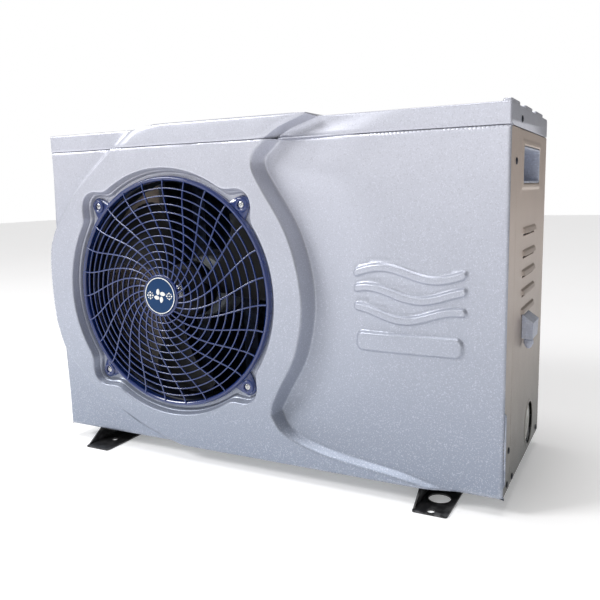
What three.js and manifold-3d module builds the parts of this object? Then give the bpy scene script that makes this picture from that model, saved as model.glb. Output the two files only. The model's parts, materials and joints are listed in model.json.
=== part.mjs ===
// A free-standing spa heat pump: a moulded front with a large fan grille, a sheet-metal cabinet
// on two channel feet, and the refrigeration and water parts inside.
//
// Everything is drawn in cabinet coordinates, in millimetres: X runs from the left side to the
// right, Y from the front face to the back, Z up from the underside of the base pan. The
// exported group then moves the cabinet so that the origin is at the middle of its base.

import * as THREE from 'three';
import { mergeVertices } from 'three/addons/utils/BufferGeometryUtils.js';
import Module from 'manifold-3d';

const wasm = await Module();
wasm.setup();

// ---- driving dimensions --------------------------------------------------------------------

const WIDTH = 737;
const DEPTH = 286;
const SEAM = 463;            // top of the front moulding and of the sides
const LID_TOP = 490;
const LID_BAND = 4.5;        // height of the raised band across the lid
const GAP = 0.4;             // clearance between neighbouring pieces
const SHEET = 1.2;           // sheet-metal thickness
const MOULDING = 3;          // wall of the plastic front and lid

const FAN_X = 232;
const FAN_Z = 241;
const OPENING_R = 189;       // mouth of the grille recess
const EAR_REACH = 134;       // from the fan axis to each grille screw, along X and along Z
const OPENING_EAR_R = 21;
const RECESS_FLOOR = 4;      // Y of the ledge that the grille sits on
const AIRWAY_R = 174;        // clear hole behind the grille

const PROUD_TOP = 16;        // how far the raised field stands out, at mid height and at the foot
const PROUD_FOOT = 11;
const VALLEY = 12;           // how far the face sinks to the right of the raised field
const WALL_RUN = 8;          // width of the sloping wall around the raised field
const BULGE = 4;             // how far the raised field overhangs the left side, at mid height
const BULGE_RIM = 0.6;

const GRILLE_R = 180.5;
const GRILLE_RIM = 8.5;
const GRILLE_FRONT = -6;
const HUB_R = 31;
const HUB_FRONT = -28;

const FRAME_FRONT = 3.4;     // the corner uprights lie between the moulding and the side panels
const FRAME_BACK = 42;
const PAN_RIM = 25;

const FOOT_HEIGHT = 23;
const FOOT_WIDTH = 46.5;
const FOOT_REACH = 32;       // how far each foot stands out in front and behind
const FOOT_OFFSET = 283;     // from the middle of the cabinet to the middle of a foot
const FOOT_PLATE = 2.5;

const HANDLE = { y0: 84, y1: 217, z0: 395, z1: 443, depth: 42, corner: 5 };
const LOUVRE = { y0: 96, y1: 194, top: 334, pitch: 26, count: 5, height: 8, proud: 4 };
const PORT_R = 32;
const OUTLET = { y: 189, z: 43 };
const INLET = { x: 672, z: 290 };
const COVER = { y0: 106, y1: 150, z0: 188, z1: 220, proud: 16 };

const SIDE_SCREWS = [[36, 422], [32, 55], [26, 11], [61, 9], [261, 12]];
const LID_SCREW = { y: 68, z: 474 };
const SCREW = { shank: 1.9, hole: 2.4, head: 4.2, headHeight: 1.6, length: 7 };

const BLADE_PITCH = 0.42;

const BULKHEAD_X = 469;
const COMPRESSOR = { x: 560, y: 118, r: 62, foot: 78 };
const EXCHANGER = { x: 672, y: 189, r: 46 };

// Height and place along X of the two edges of the raised field, from the foot of the front
// up to the seam. The left edge is the round of the grille's surround, the right edge the wave.
const LEFT_EDGE = [
  [0, 250], [16, 199], [30, 160], [50, 121], [74, 82], [100, 50], [135, 17], [175, 2], [215, -2.5],
  [262, -BULGE], [300, -2], [325, 6], [345, 18], [392, 56], [421, 89], [463, 143],
];
const WAVE_EDGE = [
  [0, 640], [9, 598], [20, 513], [31, 464], [47, 429], [64, 415], [80, 414.5], [110, 427],
  [160, 451], [215, 465], [262, 463.5], [310, 453], [351, 435.5], [395, 408], [424, 392.5],
  [445, 396], [463, 415.5],
];

// ---- solids ----------------------------------------------------------------------------------

function solid(geometry) {
  const bare = geometry.clone();
  for (const name of Object.keys(bare.attributes)) {
    if (name !== 'position') bare.deleteAttribute(name);
  }
  const merged = mergeVertices(bare, 1e-4);
  return new wasm.Manifold(new wasm.Mesh({
    numProp: 3,
    vertProperties: new Float32Array(merged.attributes.position.array),
    triVerts: new Uint32Array(merged.index.array),
  }));
}

function geometryOf(shape) {
  const mesh = shape.getMesh();
  const geometry = new THREE.BufferGeometry();
  geometry.setAttribute('position', new THREE.BufferAttribute(mesh.vertProperties, 3));
  geometry.setIndex(new THREE.BufferAttribute(mesh.triVerts, 1));
  geometry.computeVertexNormals();
  return geometry;
}

const join = (...shapes) => shapes.reduce((whole, next) => whole.add(next));
const cut = (shape, ...tools) => tools.reduce((whole, next) => whole.subtract(next), shape);

function block(x0, x1, y0, y1, z0, z1) {
  const geometry = new THREE.BoxGeometry(x1 - x0, y1 - y0, z1 - z0);
  geometry.translate((x0 + x1) / 2, (y0 + y1) / 2, (z0 + z1) / 2);
  return solid(geometry);
}

// A turned piece. The profile is a list of [radius, distance along the axis], and the axis
// points along X, Y or Z through the given point.
const TURN = {
  X: new THREE.Matrix4().makeRotationZ(-Math.PI / 2),
  Y: new THREE.Matrix4(),
  Z: new THREE.Matrix4().makeRotationX(Math.PI / 2),
};

function turned(profile, axis, [x, y, z], sides = 24) {
  const points = profile.map(([r, along]) => new THREE.Vector2(r, along));
  const geometry = new THREE.LatheGeometry(points, sides);
  return solid(geometry.applyMatrix4(TURN[axis]).translate(x, y, z));
}

const rod = (r, from, to, axis, at, sides = 24) => (
  turned([[0, from], [r, from], [r, to], [0, to]], axis, at, sides)
);

const pipe = (bore, r, from, to, axis, at, sides = 24) => (
  turned([[bore, from], [r, from], [r, to], [bore, to], [bore, from]], axis, at, sides)
);

// A plate whose outline is drawn in X and Z and which runs from y0 to y1.
function facing(shape, y0, y1) {
  const geometry = new THREE.ExtrudeGeometry(shape, { depth: y1 - y0, bevelEnabled: false, curveSegments: 6 });
  return solid(geometry.rotateX(Math.PI / 2).translate(0, y1, 0));
}

// A plate whose outline is drawn in Y and Z and which runs from x0 to x1.
const SIDEWAYS = new THREE.Matrix4().makeBasis(
  new THREE.Vector3(0, 1, 0), new THREE.Vector3(0, 0, 1), new THREE.Vector3(1, 0, 0),
);

function sideways(shape, x0, x1) {
  const geometry = new THREE.ExtrudeGeometry(shape, { depth: x1 - x0, bevelEnabled: false, curveSegments: 2 });
  return solid(geometry.applyMatrix4(SIDEWAYS).translate(x0, 0, 0));
}

function roundedRectangle(u0, u1, v0, v1, r) {
  const shape = new THREE.Shape();
  shape.moveTo(u0 + r, v0);
  shape.lineTo(u1 - r, v0);
  shape.absarc(u1 - r, v0 + r, r, -Math.PI / 2, 0, false);
  shape.lineTo(u1, v1 - r);
  shape.absarc(u1 - r, v1 - r, r, 0, Math.PI / 2, false);
  shape.lineTo(u0 + r, v1);
  shape.absarc(u0 + r, v1 - r, r, Math.PI / 2, Math.PI, false);
  shape.lineTo(u0, v0 + r);
  shape.absarc(u0 + r, v0 + r, r, Math.PI, Math.PI * 1.5, false);
  return shape;
}

function bentTube(points, r) {
  const path = new THREE.CatmullRomCurve3(points.map((p) => new THREE.Vector3(...p)), false, 'centripetal');
  const section = new THREE.Shape();
  section.absarc(0, 0, r, 0, Math.PI * 2, false);
  const options = { steps: points.length * 2, extrudePath: path, bevelEnabled: false, curveSegments: 4 };
  return solid(new THREE.ExtrudeGeometry(section, options));
}

// A mirror image from one side of the cabinet to the other.
const MIRROR = new THREE.Matrix4().makeScale(-1, 1, 1).setPosition(WIDTH, 0, 0);

function mirrored(shape) {
  const geometry = geometryOf(shape).applyMatrix4(MIRROR);
  const order = geometry.index.array;
  for (let i = 0; i < order.length; i += 3) {
    [order[i], order[i + 1]] = [order[i + 1], order[i]];
  }
  return solid(geometry);
}

// ---- the moulded front -------------------------------------------------------------------------

function between(table, z) {
  const next = Math.max(1, table.findIndex(([level]) => level >= z));
  const [z0, x0] = table[next - 1];
  const [z1, x1] = table[next];
  return x0 + (x1 - x0) * (z - z0) / (z1 - z0);
}

const smooth = THREE.MathUtils.smoothstep;
const proudAt = (z) => PROUD_FOOT + (PROUD_TOP - PROUD_FOOT) * smooth(z, 0, 150);
const valleyAt = (z) => VALLEY * smooth(z, 15, 110) * (1 - 0.35 * smooth(z, 380, SEAM));

// The face is a grid whose columns follow the two edges of the raised field. Each column gives
// its place along X and how deep the face lies there, at one height.
function faceColumns(z) {
  const left = between(LEFT_EDGE, z);
  const right = between(WAVE_EDGE, z);
  const foot = right + WALL_RUN;
  const inside = (share) => [left + (right - left) * share, -proudAt(z)];
  const beyond = (share, depth) => [foot + (WIDTH - foot) * share, valleyAt(z) * depth];
  const border = Math.min(0, left - BULGE_RIM);
  return [
    [border, 0], [left - Math.min(WALL_RUN, (left - border) / 2), 0], [left, -proudAt(z)],
    inside(0.33), inside(0.67), [right, -proudAt(z)],
    [foot, valleyAt(z)], beyond(0.12, 0.75), beyond(0.28, 0.3), beyond(0.5, 0), [WIDTH, 0],
  ];
}

const FACE_ROWS = WAVE_EDGE.map(([z]) => z);

function faceSheet() {
  const across = faceColumns(0).length - 1;
  const up = FACE_ROWS.length - 1;
  const geometry = new THREE.BoxGeometry(across, 1, up, across, 1, up);
  const place = geometry.attributes.position;
  for (let i = 0; i < place.count; i += 1) {
    const column = Math.round(place.getX(i) + across / 2);
    const z = FACE_ROWS[Math.round(place.getZ(i) + up / 2)];
    const [x, y] = faceColumns(z)[column];
    place.setXYZ(i, x, place.getY(i) > 0 ? y + MOULDING : y, z);
  }
  return solid(geometry);
}

// An outline around the fan axis: a circle with four round ears on its diagonals, blended into
// it. Each point is found by stepping outwards until the blended distance reaches zero.
function earedOutline(circleR, earR, blend, count) {
  const ears = [[1, 1], [-1, 1], [-1, -1], [1, -1]].map(([x, z]) => [x * EAR_REACH, z * EAR_REACH]);
  const distance = (x, z) => {
    const toEar = Math.min(...ears.map(([ex, ez]) => Math.hypot(x - ex, z - ez))) - earR;
    const toCircle = Math.hypot(x, z) - circleR;
    const h = Math.max(blend - Math.abs(toEar - toCircle), 0) / blend;
    return Math.min(toEar, toCircle) - h * h * blend / 4;
  };
  const points = [];
  for (let i = 0; i < count; i += 1) {
    const angle = i * 2 * Math.PI / count;
    let r = circleR - 20;
    for (let step = 0; step < 30; step += 1) r -= distance(r * Math.cos(angle), r * Math.sin(angle));
    points.push(new THREE.Vector2(FAN_X + r * Math.cos(angle), FAN_Z + r * Math.sin(angle)));
  }
  return new THREE.Shape(points);
}

function frontPanel() {
  const mouth = earedOutline(OPENING_R, OPENING_EAR_R, 22, 72);
  const inner = earedOutline(OPENING_R - MOULDING, OPENING_EAR_R - MOULDING, 22, 72);
  const floorBack = RECESS_FLOOR + MOULDING;
  const cup = cut(
    facing(mouth, -PROUD_FOOT, floorBack),
    facing(inner, -PROUD_FOOT - 1, RECESS_FLOOR),
    rod(AIRWAY_R, -40, 40, 'Y', [FAN_X, 0, FAN_Z], 72),
    ...grilleScrewPlaces().map(([x, z]) => rod(SCREW.hole, -1, 40, 'Y', [x, 0, z], 8)),
  );
  const opening = facing(inner, -40, 40);
  return join(cut(faceSheet(), opening), cup);
}

const grilleScrewPlaces = () => [[1, 1], [-1, 1], [-1, -1], [1, -1]].map(
  ([x, z]) => [FAN_X + x * EAR_REACH, FAN_Z + z * EAR_REACH],
);

// ---- fan grille ----------------------------------------------------------------------------------

const HUB_BACK = HUB_FRONT + 3;

// The grille is a shallow cone in the middle of its bars, from the rim out to the hub.
const grilleY = (r) => (
  HUB_BACK + 2.5 + (GRILLE_FRONT - HUB_BACK) * (r - HUB_R) / (GRILLE_R - GRILLE_RIM - HUB_R)
);

function grilleSpoke(angle) {
  const inner = HUB_R - 3;
  const outer = GRILLE_R - GRILLE_RIM + 3;
  const geometry = new THREE.BoxGeometry(outer - inner, 3.4, 3);
  const place = geometry.attributes.position;
  for (let i = 0; i < place.count; i += 1) {
    const r = place.getX(i) > 0 ? outer : inner;
    place.setXYZ(i, r, grilleY(r) + place.getY(i), place.getZ(i));
  }
  return solid(geometry.rotateY(angle).translate(FAN_X, 0, FAN_Z));
}

function fanGrille() {
  const at = [FAN_X, 0, FAN_Z];
  const back = RECESS_FLOOR - GAP;
  const rim = pipe(GRILLE_R - GRILLE_RIM, GRILLE_R, GRILLE_FRONT, back, 'Y', at, 48);
  const hub = rod(HUB_R, HUB_BACK, HUB_BACK + 5, 'Y', at, 24);
  const ears = cut(
    facing(earedOutline(GRILLE_R - 2, 13, 16, 64), -1, back),
    rod(GRILLE_R - GRILLE_RIM + 1, -20, 20, 'Y', at, 48),
    ...grilleScrewPlaces().map(([x, z]) => rod(SCREW.hole, -20, 20, 'Y', [x, 0, z], 8)),
  );
  const rings = [52, 72, 92, 112, 132, 152].map((r) => (
    pipe(r - 1.6, r + 1.6, grilleY(r) - 1.6, grilleY(r) + 1.6, 'Y', at, 24)
  ));
  const spokes = Array.from({ length: 9 }, (_, i) => grilleSpoke(i * 2 * Math.PI / 9));
  return join(rim, ears, hub, ...rings, ...spokes);
}

const hubBadge = () => rod(HUB_R - 2, HUB_FRONT, HUB_BACK - GAP, 'Y', [FAN_X, 0, FAN_Z], 24);

// ---- cabinet sheets and lid ---------------------------------------------------------------------

function screwHoles(side) {
  const x = side === 'right' ? WIDTH : 0;
  return SIDE_SCREWS.map(([y, z]) => rod(SCREW.hole, -12, 12, 'X', [x, y, z], 8));
}

const bothSides = () => [...screwHoles('left'), ...screwHoles('right')];

function frontFrame() {
  const top = SEAM - 1;
  const outer = block(0, WIDTH, FRAME_FRONT, FRAME_BACK, 2, top);
  const inner = block(1.5, WIDTH - 1.5, FRAME_FRONT - 1, FRAME_BACK + 1, 1, top - 1.5);
  const overValley = block(14, WIDTH - 14, FRAME_FRONT - 1, 17, top - 5, top + 1);
  const lips = [0, WIDTH - 14].map((x) => block(x, x + 14, FRAME_FRONT, FRAME_FRONT + 1.5, 2, top));
  return cut(join(cut(outer, inner, overValley), ...lips), ...bothSides());
}

function basePan() {
  const inset = 1.9;
  const outer = block(inset, WIDTH - inset, 5.4, DEPTH - 2, 0, PAN_RIM);
  const hollow = block(inset + SHEET, WIDTH - inset - SHEET, 5.4 + SHEET, DEPTH - 2 - SHEET, SHEET, PAN_RIM + 1);
  const drain = rod(9, -5, 5, 'Z', [380, 150, 0], 16);
  const port = rod(PORT_R, -5, 5, 'X', [WIDTH, OUTLET.y, OUTLET.z], 24);
  return cut(outer, hollow, drain, port, ...bothSides());
}

// A side panel is drawn for the right of the cabinet. It has a fold round the rear corner, a tab
// under the lid's skirt, and the hole for the handle pocket.
function sidePanel() {
  const skin = block(WIDTH - SHEET, WIDTH, FRAME_BACK + GAP, DEPTH, 2, SEAM - GAP);
  const fold = block(WIDTH - 20, WIDTH, DEPTH - SHEET, DEPTH, 2, SEAM - GAP);
  const step = block(WIDTH - 4.6, WIDTH, 60, 76, 450, 452);
  const tab = block(WIDTH - 4.6, WIDTH - 3.4, 60, 76, 450, 484);
  const { y0, y1, z0, z1, corner } = HANDLE;
  const grip = sideways(roundedRectangle(y0, y1, z0, z1, corner), WIDTH - 5, WIDTH + 5);
  const lidScrew = rod(SCREW.hole, -12, 12, 'X', [WIDTH, LID_SCREW.y, LID_SCREW.z], 8);
  return cut(join(skin, fold, step, tab), grip, lidScrew, ...screwHoles('right'));
}

function louvre(top) {
  const hood = new THREE.Shape([
    new THREE.Vector2(-0.5, top),
    new THREE.Vector2(0, top),
    new THREE.Vector2(LOUVRE.proud, top - LOUVRE.height + 1),
    new THREE.Vector2(LOUVRE.proud, top - LOUVRE.height),
    new THREE.Vector2(-0.5, top - LOUVRE.height),
  ]);
  return facing(hood, LOUVRE.y0, LOUVRE.y1).translate(WIDTH, 0, 0);
}

function rightPanel() {
  const hoods = Array.from({ length: LOUVRE.count }, (_, i) => louvre(LOUVRE.top - i * LOUVRE.pitch));
  const port = rod(PORT_R, -5, 5, 'X', [WIDTH, OUTLET.y, OUTLET.z], 24);
  return cut(join(sidePanel(), ...hoods), port);
}

function rearPanel() {
  const sheet = block(466, WIDTH - 20 - GAP, DEPTH - SHEET, DEPTH, PAN_RIM + GAP, SEAM - GAP);
  const stiffener = block(466, 467.2, DEPTH - 12, DEPTH, PAN_RIM + GAP, SEAM - GAP);
  const port = rod(PORT_R, DEPTH - 5, DEPTH + 5, 'Y', [INLET.x, 0, INLET.z], 24);
  return cut(join(sheet, stiffener), port);
}

function rearGuard() {
  const x0 = 20 + GAP;
  const x1 = 466 - GAP;
  const z0 = PAN_RIM + 2;
  const z1 = SEAM - 2;
  const back = DEPTH - 0.3;
  const frame = cut(
    block(x0, x1, back - 5, back, z0, z1),
    block(x0 + 8, x1 - 8, back - 6, back + 1, z0 + 8, z1 - 8),
  );
  const bars = [];
  for (let i = 1; i < 7; i += 1) {
    const x = x0 + (x1 - x0) * i / 7;
    bars.push(block(x - 1, x + 1, back - 3.5, back - 1.5, z0 + 4, z1 - 4));
  }
  for (let i = 1; i < 7; i += 1) {
    const z = z0 + (z1 - z0) * i / 7;
    bars.push(block(x0 + 4, x1 - 4, back - 2, back, z - 1, z + 1));
  }
  return join(frame, ...bars);
}

// The lid is a shell with a skirt. A band as wide as the raised field runs across it from front
// to back, and three lugs stand along its right edge.
function topLid() {
  const bottom = SEAM + GAP;
  const band = new THREE.Shape([
    new THREE.Vector2(146, bottom), new THREE.Vector2(415, bottom), new THREE.Vector2(480, LID_TOP + LID_BAND),
    new THREE.Vector2(218, LID_TOP + LID_BAND), new THREE.Vector2(172, LID_TOP - 2),
  ]);
  const shell = join(
    block(0, WIDTH, 0, DEPTH, bottom, LID_TOP),
    facing(band, -PROUD_TOP, DEPTH),
  );
  const bandHollow = new THREE.Shape([
    new THREE.Vector2(150, bottom - 1), new THREE.Vector2(412, bottom - 1), new THREE.Vector2(474, LID_TOP - 1),
    new THREE.Vector2(220, LID_TOP - 1), new THREE.Vector2(180, LID_TOP - 4),
  ]);
  const hollow = join(
    block(2.6, WIDTH - 2.6, MOULDING, DEPTH - MOULDING, bottom - 1, LID_TOP - MOULDING),
    facing(bandHollow, -PROUD_TOP + MOULDING, MOULDING + 2),
  );
  const lugs = [[11, 62], [106, 155], [192, 248]].map(([y0, y1]) => (
    block(WIDTH - 13, WIDTH - 1, y0, y1, LID_TOP - 1, LID_TOP + LID_BAND)
  ));
  const screws = [0, WIDTH].map((x) => rod(SCREW.hole, -12, 12, 'X', [x, LID_SCREW.y, LID_SCREW.z], 8));
  return cut(join(shell, ...lugs), hollow, ...screws);
}

// ---- small outside pieces -----------------------------------------------------------------------

function handleCup() {
  const { y0, y1, z0, z1, depth, corner } = HANDLE;
  const wall = 2;
  const play = 0.6;
  const outline = (inset) => (
    roundedRectangle(y0 + inset, y1 - inset, z0 + inset, z1 - inset, corner)
  );
  const body = sideways(outline(play), WIDTH - depth, WIDTH - 0.2);
  const flange = sideways(outline(-5), WIDTH - SHEET - GAP - 2, WIDTH - SHEET - GAP);
  const pocket = sideways(outline(play + wall), WIDTH - depth + wall, WIDTH + 1);
  return cut(join(body, flange), pocket);
}

function foot(side) {
  const x0 = WIDTH / 2 + side * FOOT_OFFSET - FOOT_WIDTH / 2;
  const x1 = x0 + FOOT_WIDTH;
  const top = -GAP;
  const plateTop = -FOOT_HEIGHT + FOOT_PLATE;
  const plate = block(x0, x1, -FOOT_REACH, DEPTH + FOOT_REACH, -FOOT_HEIGHT, plateTop);
  const web = sideways(new THREE.Shape([
    new THREE.Vector2(-FOOT_REACH, -FOOT_HEIGHT), new THREE.Vector2(DEPTH + FOOT_REACH, -FOOT_HEIGHT),
    new THREE.Vector2(DEPTH - 4, top), new THREE.Vector2(4, top),
  ]), x0, x0 + FOOT_PLATE);
  const flange = block(x0, x0 + 30, 6, DEPTH - 6, top - FOOT_PLATE, top);
  const middle = (x0 + x1) / 2;
  const drill = (r, y) => rod(r, -FOOT_HEIGHT - 1, plateTop + 1, 'Z', [middle, y, 0], 20);
  const holes = side > 0 ? [drill(15, 18), drill(5.3, -25)] : [drill(5.3, 11)];
  return cut(join(plate, web, flange), ...holes);
}

function cableCover() {
  const { y0, y1, z0, z1, proud } = COVER;
  const profile = new THREE.Shape([
    new THREE.Vector2(WIDTH + 0.3, z0), new THREE.Vector2(WIDTH + proud, z0 - 1),
    new THREE.Vector2(WIDTH + proud, z1 - 7), new THREE.Vector2(WIDTH + 0.3, z1),
  ]);
  const hollow = block(WIDTH - 1, WIDTH + proud - 2.5, y0 + 2.5, y1 - 2.5, z0 + 2.5, z1 - 9);
  const entry = rod(5.5, z0 - 5, z0 + 4, 'Z', [WIDTH + proud / 2, y0 + 11, 0], 12);
  return cut(facing(profile, y0, y1), hollow, entry);
}

function cableGland() {
  const { y0, z0, proud } = COVER;
  return turned([
    [0, z0 - 15], [3.6, z0 - 15], [5.4, z0 - 9], [6.6, z0 - 8], [6.6, z0 - 1.4], [5, z0 - 1.4],
    [5, z0 + 6], [0, z0 + 6],
  ], 'Z', [WIDTH + proud / 2, y0 + 11, 0], 12);
}

// A pan-head screw. Its head sits just clear of the face at distance 0 and its shank goes inwards.
function screw(axis, at, outwards) {
  const { shank, head, headHeight, length } = SCREW;
  const profile = [
    [0, -length], [shank, -length], [shank, 0.3], [head, 0.3], [head * 0.8, 0.3 + headHeight], [0, 0.3 + headHeight],
  ];
  const points = outwards > 0 ? profile : profile.map(([r, along]) => [r, -along]).reverse();
  return turned(points, axis, at, 9);
}

// ---- air side ---------------------------------------------------------------------------------------

function bulkhead() {
  const sheet = block(BULKHEAD_X, BULKHEAD_X + SHEET, 17, DEPTH - 4, 2, SEAM - 5);
  const foldForward = block(BULKHEAD_X, BULKHEAD_X + 12, 17, 17 + SHEET, PAN_RIM + 2, SEAM - 5);
  const pipeHole = rod(8, -5, 5, 'X', [BULKHEAD_X, 268, 120], 12);
  return cut(join(sheet, foldForward), pipeHole);
}

function fanShroud() {
  const at = [FAN_X, 0, FAN_Z];
  const plate = block(4, BULKHEAD_X - GAP, 20, 20 + SHEET, 3, SEAM - 5);
  const lip = pipe(AIRWAY_R, AIRWAY_R + 2, 20, 52, 'Y', at, 48);
  return join(cut(plate, rod(AIRWAY_R + 1, 0, 40, 'Y', at, 48)), lip);
}

const coilBlock = () => block(42, 448, 238, 274, 8, 452);

function coilPlate(x) {
  const inwards = x < WIDTH / 4 ? -1 : 1;
  const sheet = block(x, x + SHEET, 234, 278, 2, 456);
  const edge = inwards < 0 ? block(x - 10, x, 234, 234 + SHEET, 2, 456) : block(x, x + 12, 234, 234 + SHEET, 2, 456);
  return join(sheet, edge);
}

// Three flat blades, each pitched about its own radius, stand on a thick hub.
function fanBlade() {
  const outline = new THREE.Shape([
    [36, -20], [90, -38], [148, -44], [160, -24], [164, 0], [160, 24], [148, 44], [90, 38], [36, 20],
  ].map(([r, across]) => new THREE.Vector2(r, across)));
  const blades = [0, 1, 2].map((turn) => {
    const geometry = new THREE.ExtrudeGeometry(outline, { depth: 3, bevelEnabled: false });
    geometry.translate(0, 0, -1.5).rotateX(Math.PI / 2 + BLADE_PITCH).rotateY(0.2 + turn * 2 * Math.PI / 3);
    return solid(geometry.translate(FAN_X, 45, FAN_Z));
  });
  return join(pipe(6.4, 44, 27, 63, 'Y', [FAN_X, 0, FAN_Z], 20), ...blades);
}

const fanShaft = () => rod(6, 17, 88, 'Y', [FAN_X, 0, FAN_Z], 16);
const fanNut = () => cut(
  rod(11, 17.5, 25.6, 'Y', [FAN_X, 0, FAN_Z], 6),
  rod(6.4, 10, 30, 'Y', [FAN_X, 0, FAN_Z], 16),
);

const fanMotor = () => turned([
  [0, 90], [6.4, 90], [6.4, 78], [22, 78], [26, 84], [48, 88], [50, 92], [50, 142], [44, 150], [0, 150],
], 'Y', [FAN_X, 0, FAN_Z], 28);

function motorBracket() {
  const y0 = 150 + GAP;
  const plate = block(FAN_X - 62, FAN_X + 62, y0, y0 + 3, FAN_Z - 55, FAN_Z + 55);
  const posts = [-62, 36].flatMap((x) => [
    block(FAN_X + x, FAN_X + x + 26, y0, y0 + 2, 2, 456),
    block(FAN_X + x, FAN_X + x + 2, y0, y0 + 14, 2, 456),
  ]);
  return join(plate, ...posts);
}

// ---- refrigerant side --------------------------------------------------------------------------------

const compressor = () => turned([
  [0, 20.5], [COMPRESSOR.foot, 20.5], [COMPRESSOR.foot, 24], [COMPRESSOR.r - 4, 24], [COMPRESSOR.r, 34],
  [COMPRESSOR.r, 200], [COMPRESSOR.r - 5, 216], [COMPRESSOR.r - 20, 229], [0, 234],
], 'Z', [COMPRESSOR.x, COMPRESSOR.y, 0], 32);

function compressorMount(index) {
  const angle = Math.PI / 6 + index * 2 * Math.PI / 3;
  const at = [COMPRESSOR.x + 64 * Math.cos(angle), COMPRESSOR.y + 64 * Math.sin(angle), 0];
  return turned([
    [0, SHEET + GAP], [12, SHEET + GAP], [9, 10], [12, 20], [0, 20],
  ], 'Z', at, 14);
}

const accumulator = () => turned([
  [0, 40], [14, 42], [24, 52], [24, 180], [14, 196], [5, 200], [0, 200],
], 'Z', [502, 232, 0], 20);

function fourWayValve() {
  const barrel = rod(12, 515, 605, 'X', [0, 215, 330], 16);
  const stubs = [535, 560, 585].map((x) => rod(5.5, 306, 325, 'Z', [x, 215, 0], 12));
  const inletStub = rod(5.5, 335, 354, 'Z', [560, 215, 0], 12);
  return join(barrel, ...stubs, inletStub);
}

const expansionValve = () => turned([
  [0, 228], [5, 228], [5, 236], [12, 238], [12, 262], [8, 266], [8, 280], [0, 280],
], 'Z', [600, 252, 0], 16);

const dischargePipe = () => bentTube([
  [560, 118, 235], [560, 118, 290], [560, 122, 345], [560, 148, 364], [560, 195, 366], [560, 214, 363], [560, 215, 355],
], 5);

const suctionPipe = () => bentTube([
  [502, 232, 200.6], [502, 232, 240], [506, 229, 270], [528, 219, 288], [535, 215, 296], [535, 215, 305.4],
], 5);

const liquidPipe = () => bentTube([
  [600, 252, 227.4], [600, 252, 190], [596, 255, 158], [575, 262, 132], [540, 268, 120], [500, 268, 120], [456, 268, 120],
], 4);

// ---- water side ---------------------------------------------------------------------------------------

const heatExchanger = () => turned([
  [0, 8], [38, 8], [EXCHANGER.r, 16], [EXCHANGER.r, 318], [52, 318], [52, 332], [46, 342], [24, 350], [0, 350],
], 'Z', [EXCHANGER.x, EXCHANGER.y, 0], 32);

const waterOutlet = () => pipe(19, 24, EXCHANGER.x + EXCHANGER.r + 0.5, WIDTH - 4, 'X', [0, OUTLET.y, OUTLET.z], 24);
const outletNut = () => pipe(24.4, 29.5, WIDTH - 15, WIDTH - 3, 'X', [0, OUTLET.y, OUTLET.z], 24);
const waterInlet = () => pipe(19, 24, EXCHANGER.y + EXCHANGER.r + 0.5, DEPTH - 4, 'Y', [INLET.x, 0, INLET.z], 24);
const inletNut = () => pipe(24.4, 29.5, DEPTH - 16, DEPTH - 3, 'Y', [INLET.x, 0, INLET.z], 24);

const flowSwitch = () => join(
  rod(7, INLET.z + 24.5, 344, 'Z', [INLET.x, 254, 0], 12),
  block(INLET.x - 16, INLET.x + 16, 243, 266, 342, 366),
);

// ---- electrical side ------------------------------------------------------------------------------------

const CONTROL = { x0: 482, x1: 688, y0: 30, y1: 146, z0: 376, z1: 452 };

function controlBox() {
  const { x0, x1, y0, y1, z0, z1 } = CONTROL;
  return cut(
    block(x0, x1, y0, y1, z0, z1),
    block(x0 + 2, x1 - 2, y0 - 1, y1 - 2, z0 + 2, z1 - 2),
  );
}

const controlBoxLid = () => block(CONTROL.x0, CONTROL.x1, CONTROL.y0 - GAP - 2, CONTROL.y0 - GAP, CONTROL.z0, CONTROL.z1);

// ---- materials ------------------------------------------------------------------------------------------

const finish = (color, roughness, metalness = 0) => (
  () => new THREE.MeshStandardMaterial({ color, roughness, metalness })
);

const pearlPlastic = finish(0xc4c8d2, 0.42, 0.15);
const navyPlastic = finish(0x123063, 0.28);
const badgeBlue = finish(0x0a4b78, 0.3);
const satinSteel = finish(0x8f8c86, 0.38, 0.85);
const zincSteel = finish(0xa9adb0, 0.45, 0.8);
const blackSteel = finish(0x121314, 0.5);
const greyPlastic = finish(0xa8b0c0, 0.55);
const blackPlastic = finish(0x17181a, 0.5);
const screwSteel = finish(0xc8cacc, 0.25, 1);
const aluminiumFin = finish(0xb9bfc4, 0.4, 0.9);
const castMotor = finish(0x6d7175, 0.5, 0.6);
const blackEnamel = finish(0x1b1c1e, 0.35);
const rubber = finish(0x1a1a1a, 0.9);
const whitePlastic = finish(0xe8e9e6, 0.4);
const brass = finish(0xb08d4a, 0.35, 0.9);
const copper = finish(0xb06a42, 0.35, 0.95);

// ---- assembly -------------------------------------------------------------------------------------------

const cabinet = new THREE.Group();
const boxLeft = -BULGE - BULGE_RIM;
const boxRight = WIDTH + COVER.proud;
cabinet.position.set(-(boxLeft + boxRight) / 2, -DEPTH / 2, FOOT_HEIGHT);

function place(name, shape, material) {
  const mesh = new THREE.Mesh(geometryOf(shape), material());
  mesh.name = name;
  cabinet.add(mesh);
}

place('front_panel', frontPanel(), pearlPlastic);
place('front_frame', frontFrame(), satinSteel);
place('top_lid', topLid(), pearlPlastic);
place('right_side_panel', rightPanel(), satinSteel);
place('left_side_panel', mirrored(sidePanel()), satinSteel);
place('rear_panel', rearPanel(), satinSteel);
place('rear_guard', rearGuard(), blackSteel);
place('base_pan', basePan(), zincSteel);
place('foot_left', foot(-1), blackSteel);
place('foot_right', foot(1), blackSteel);

place('fan_guard', fanGrille(), navyPlastic);
place('hub_badge', hubBadge(), badgeBlue);
grilleScrewPlaces().forEach(([x, z], i) => {
  place(`guard_screw_${i + 1}`, screw('Y', [x, -1, z], -1), screwSteel);
});

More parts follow.
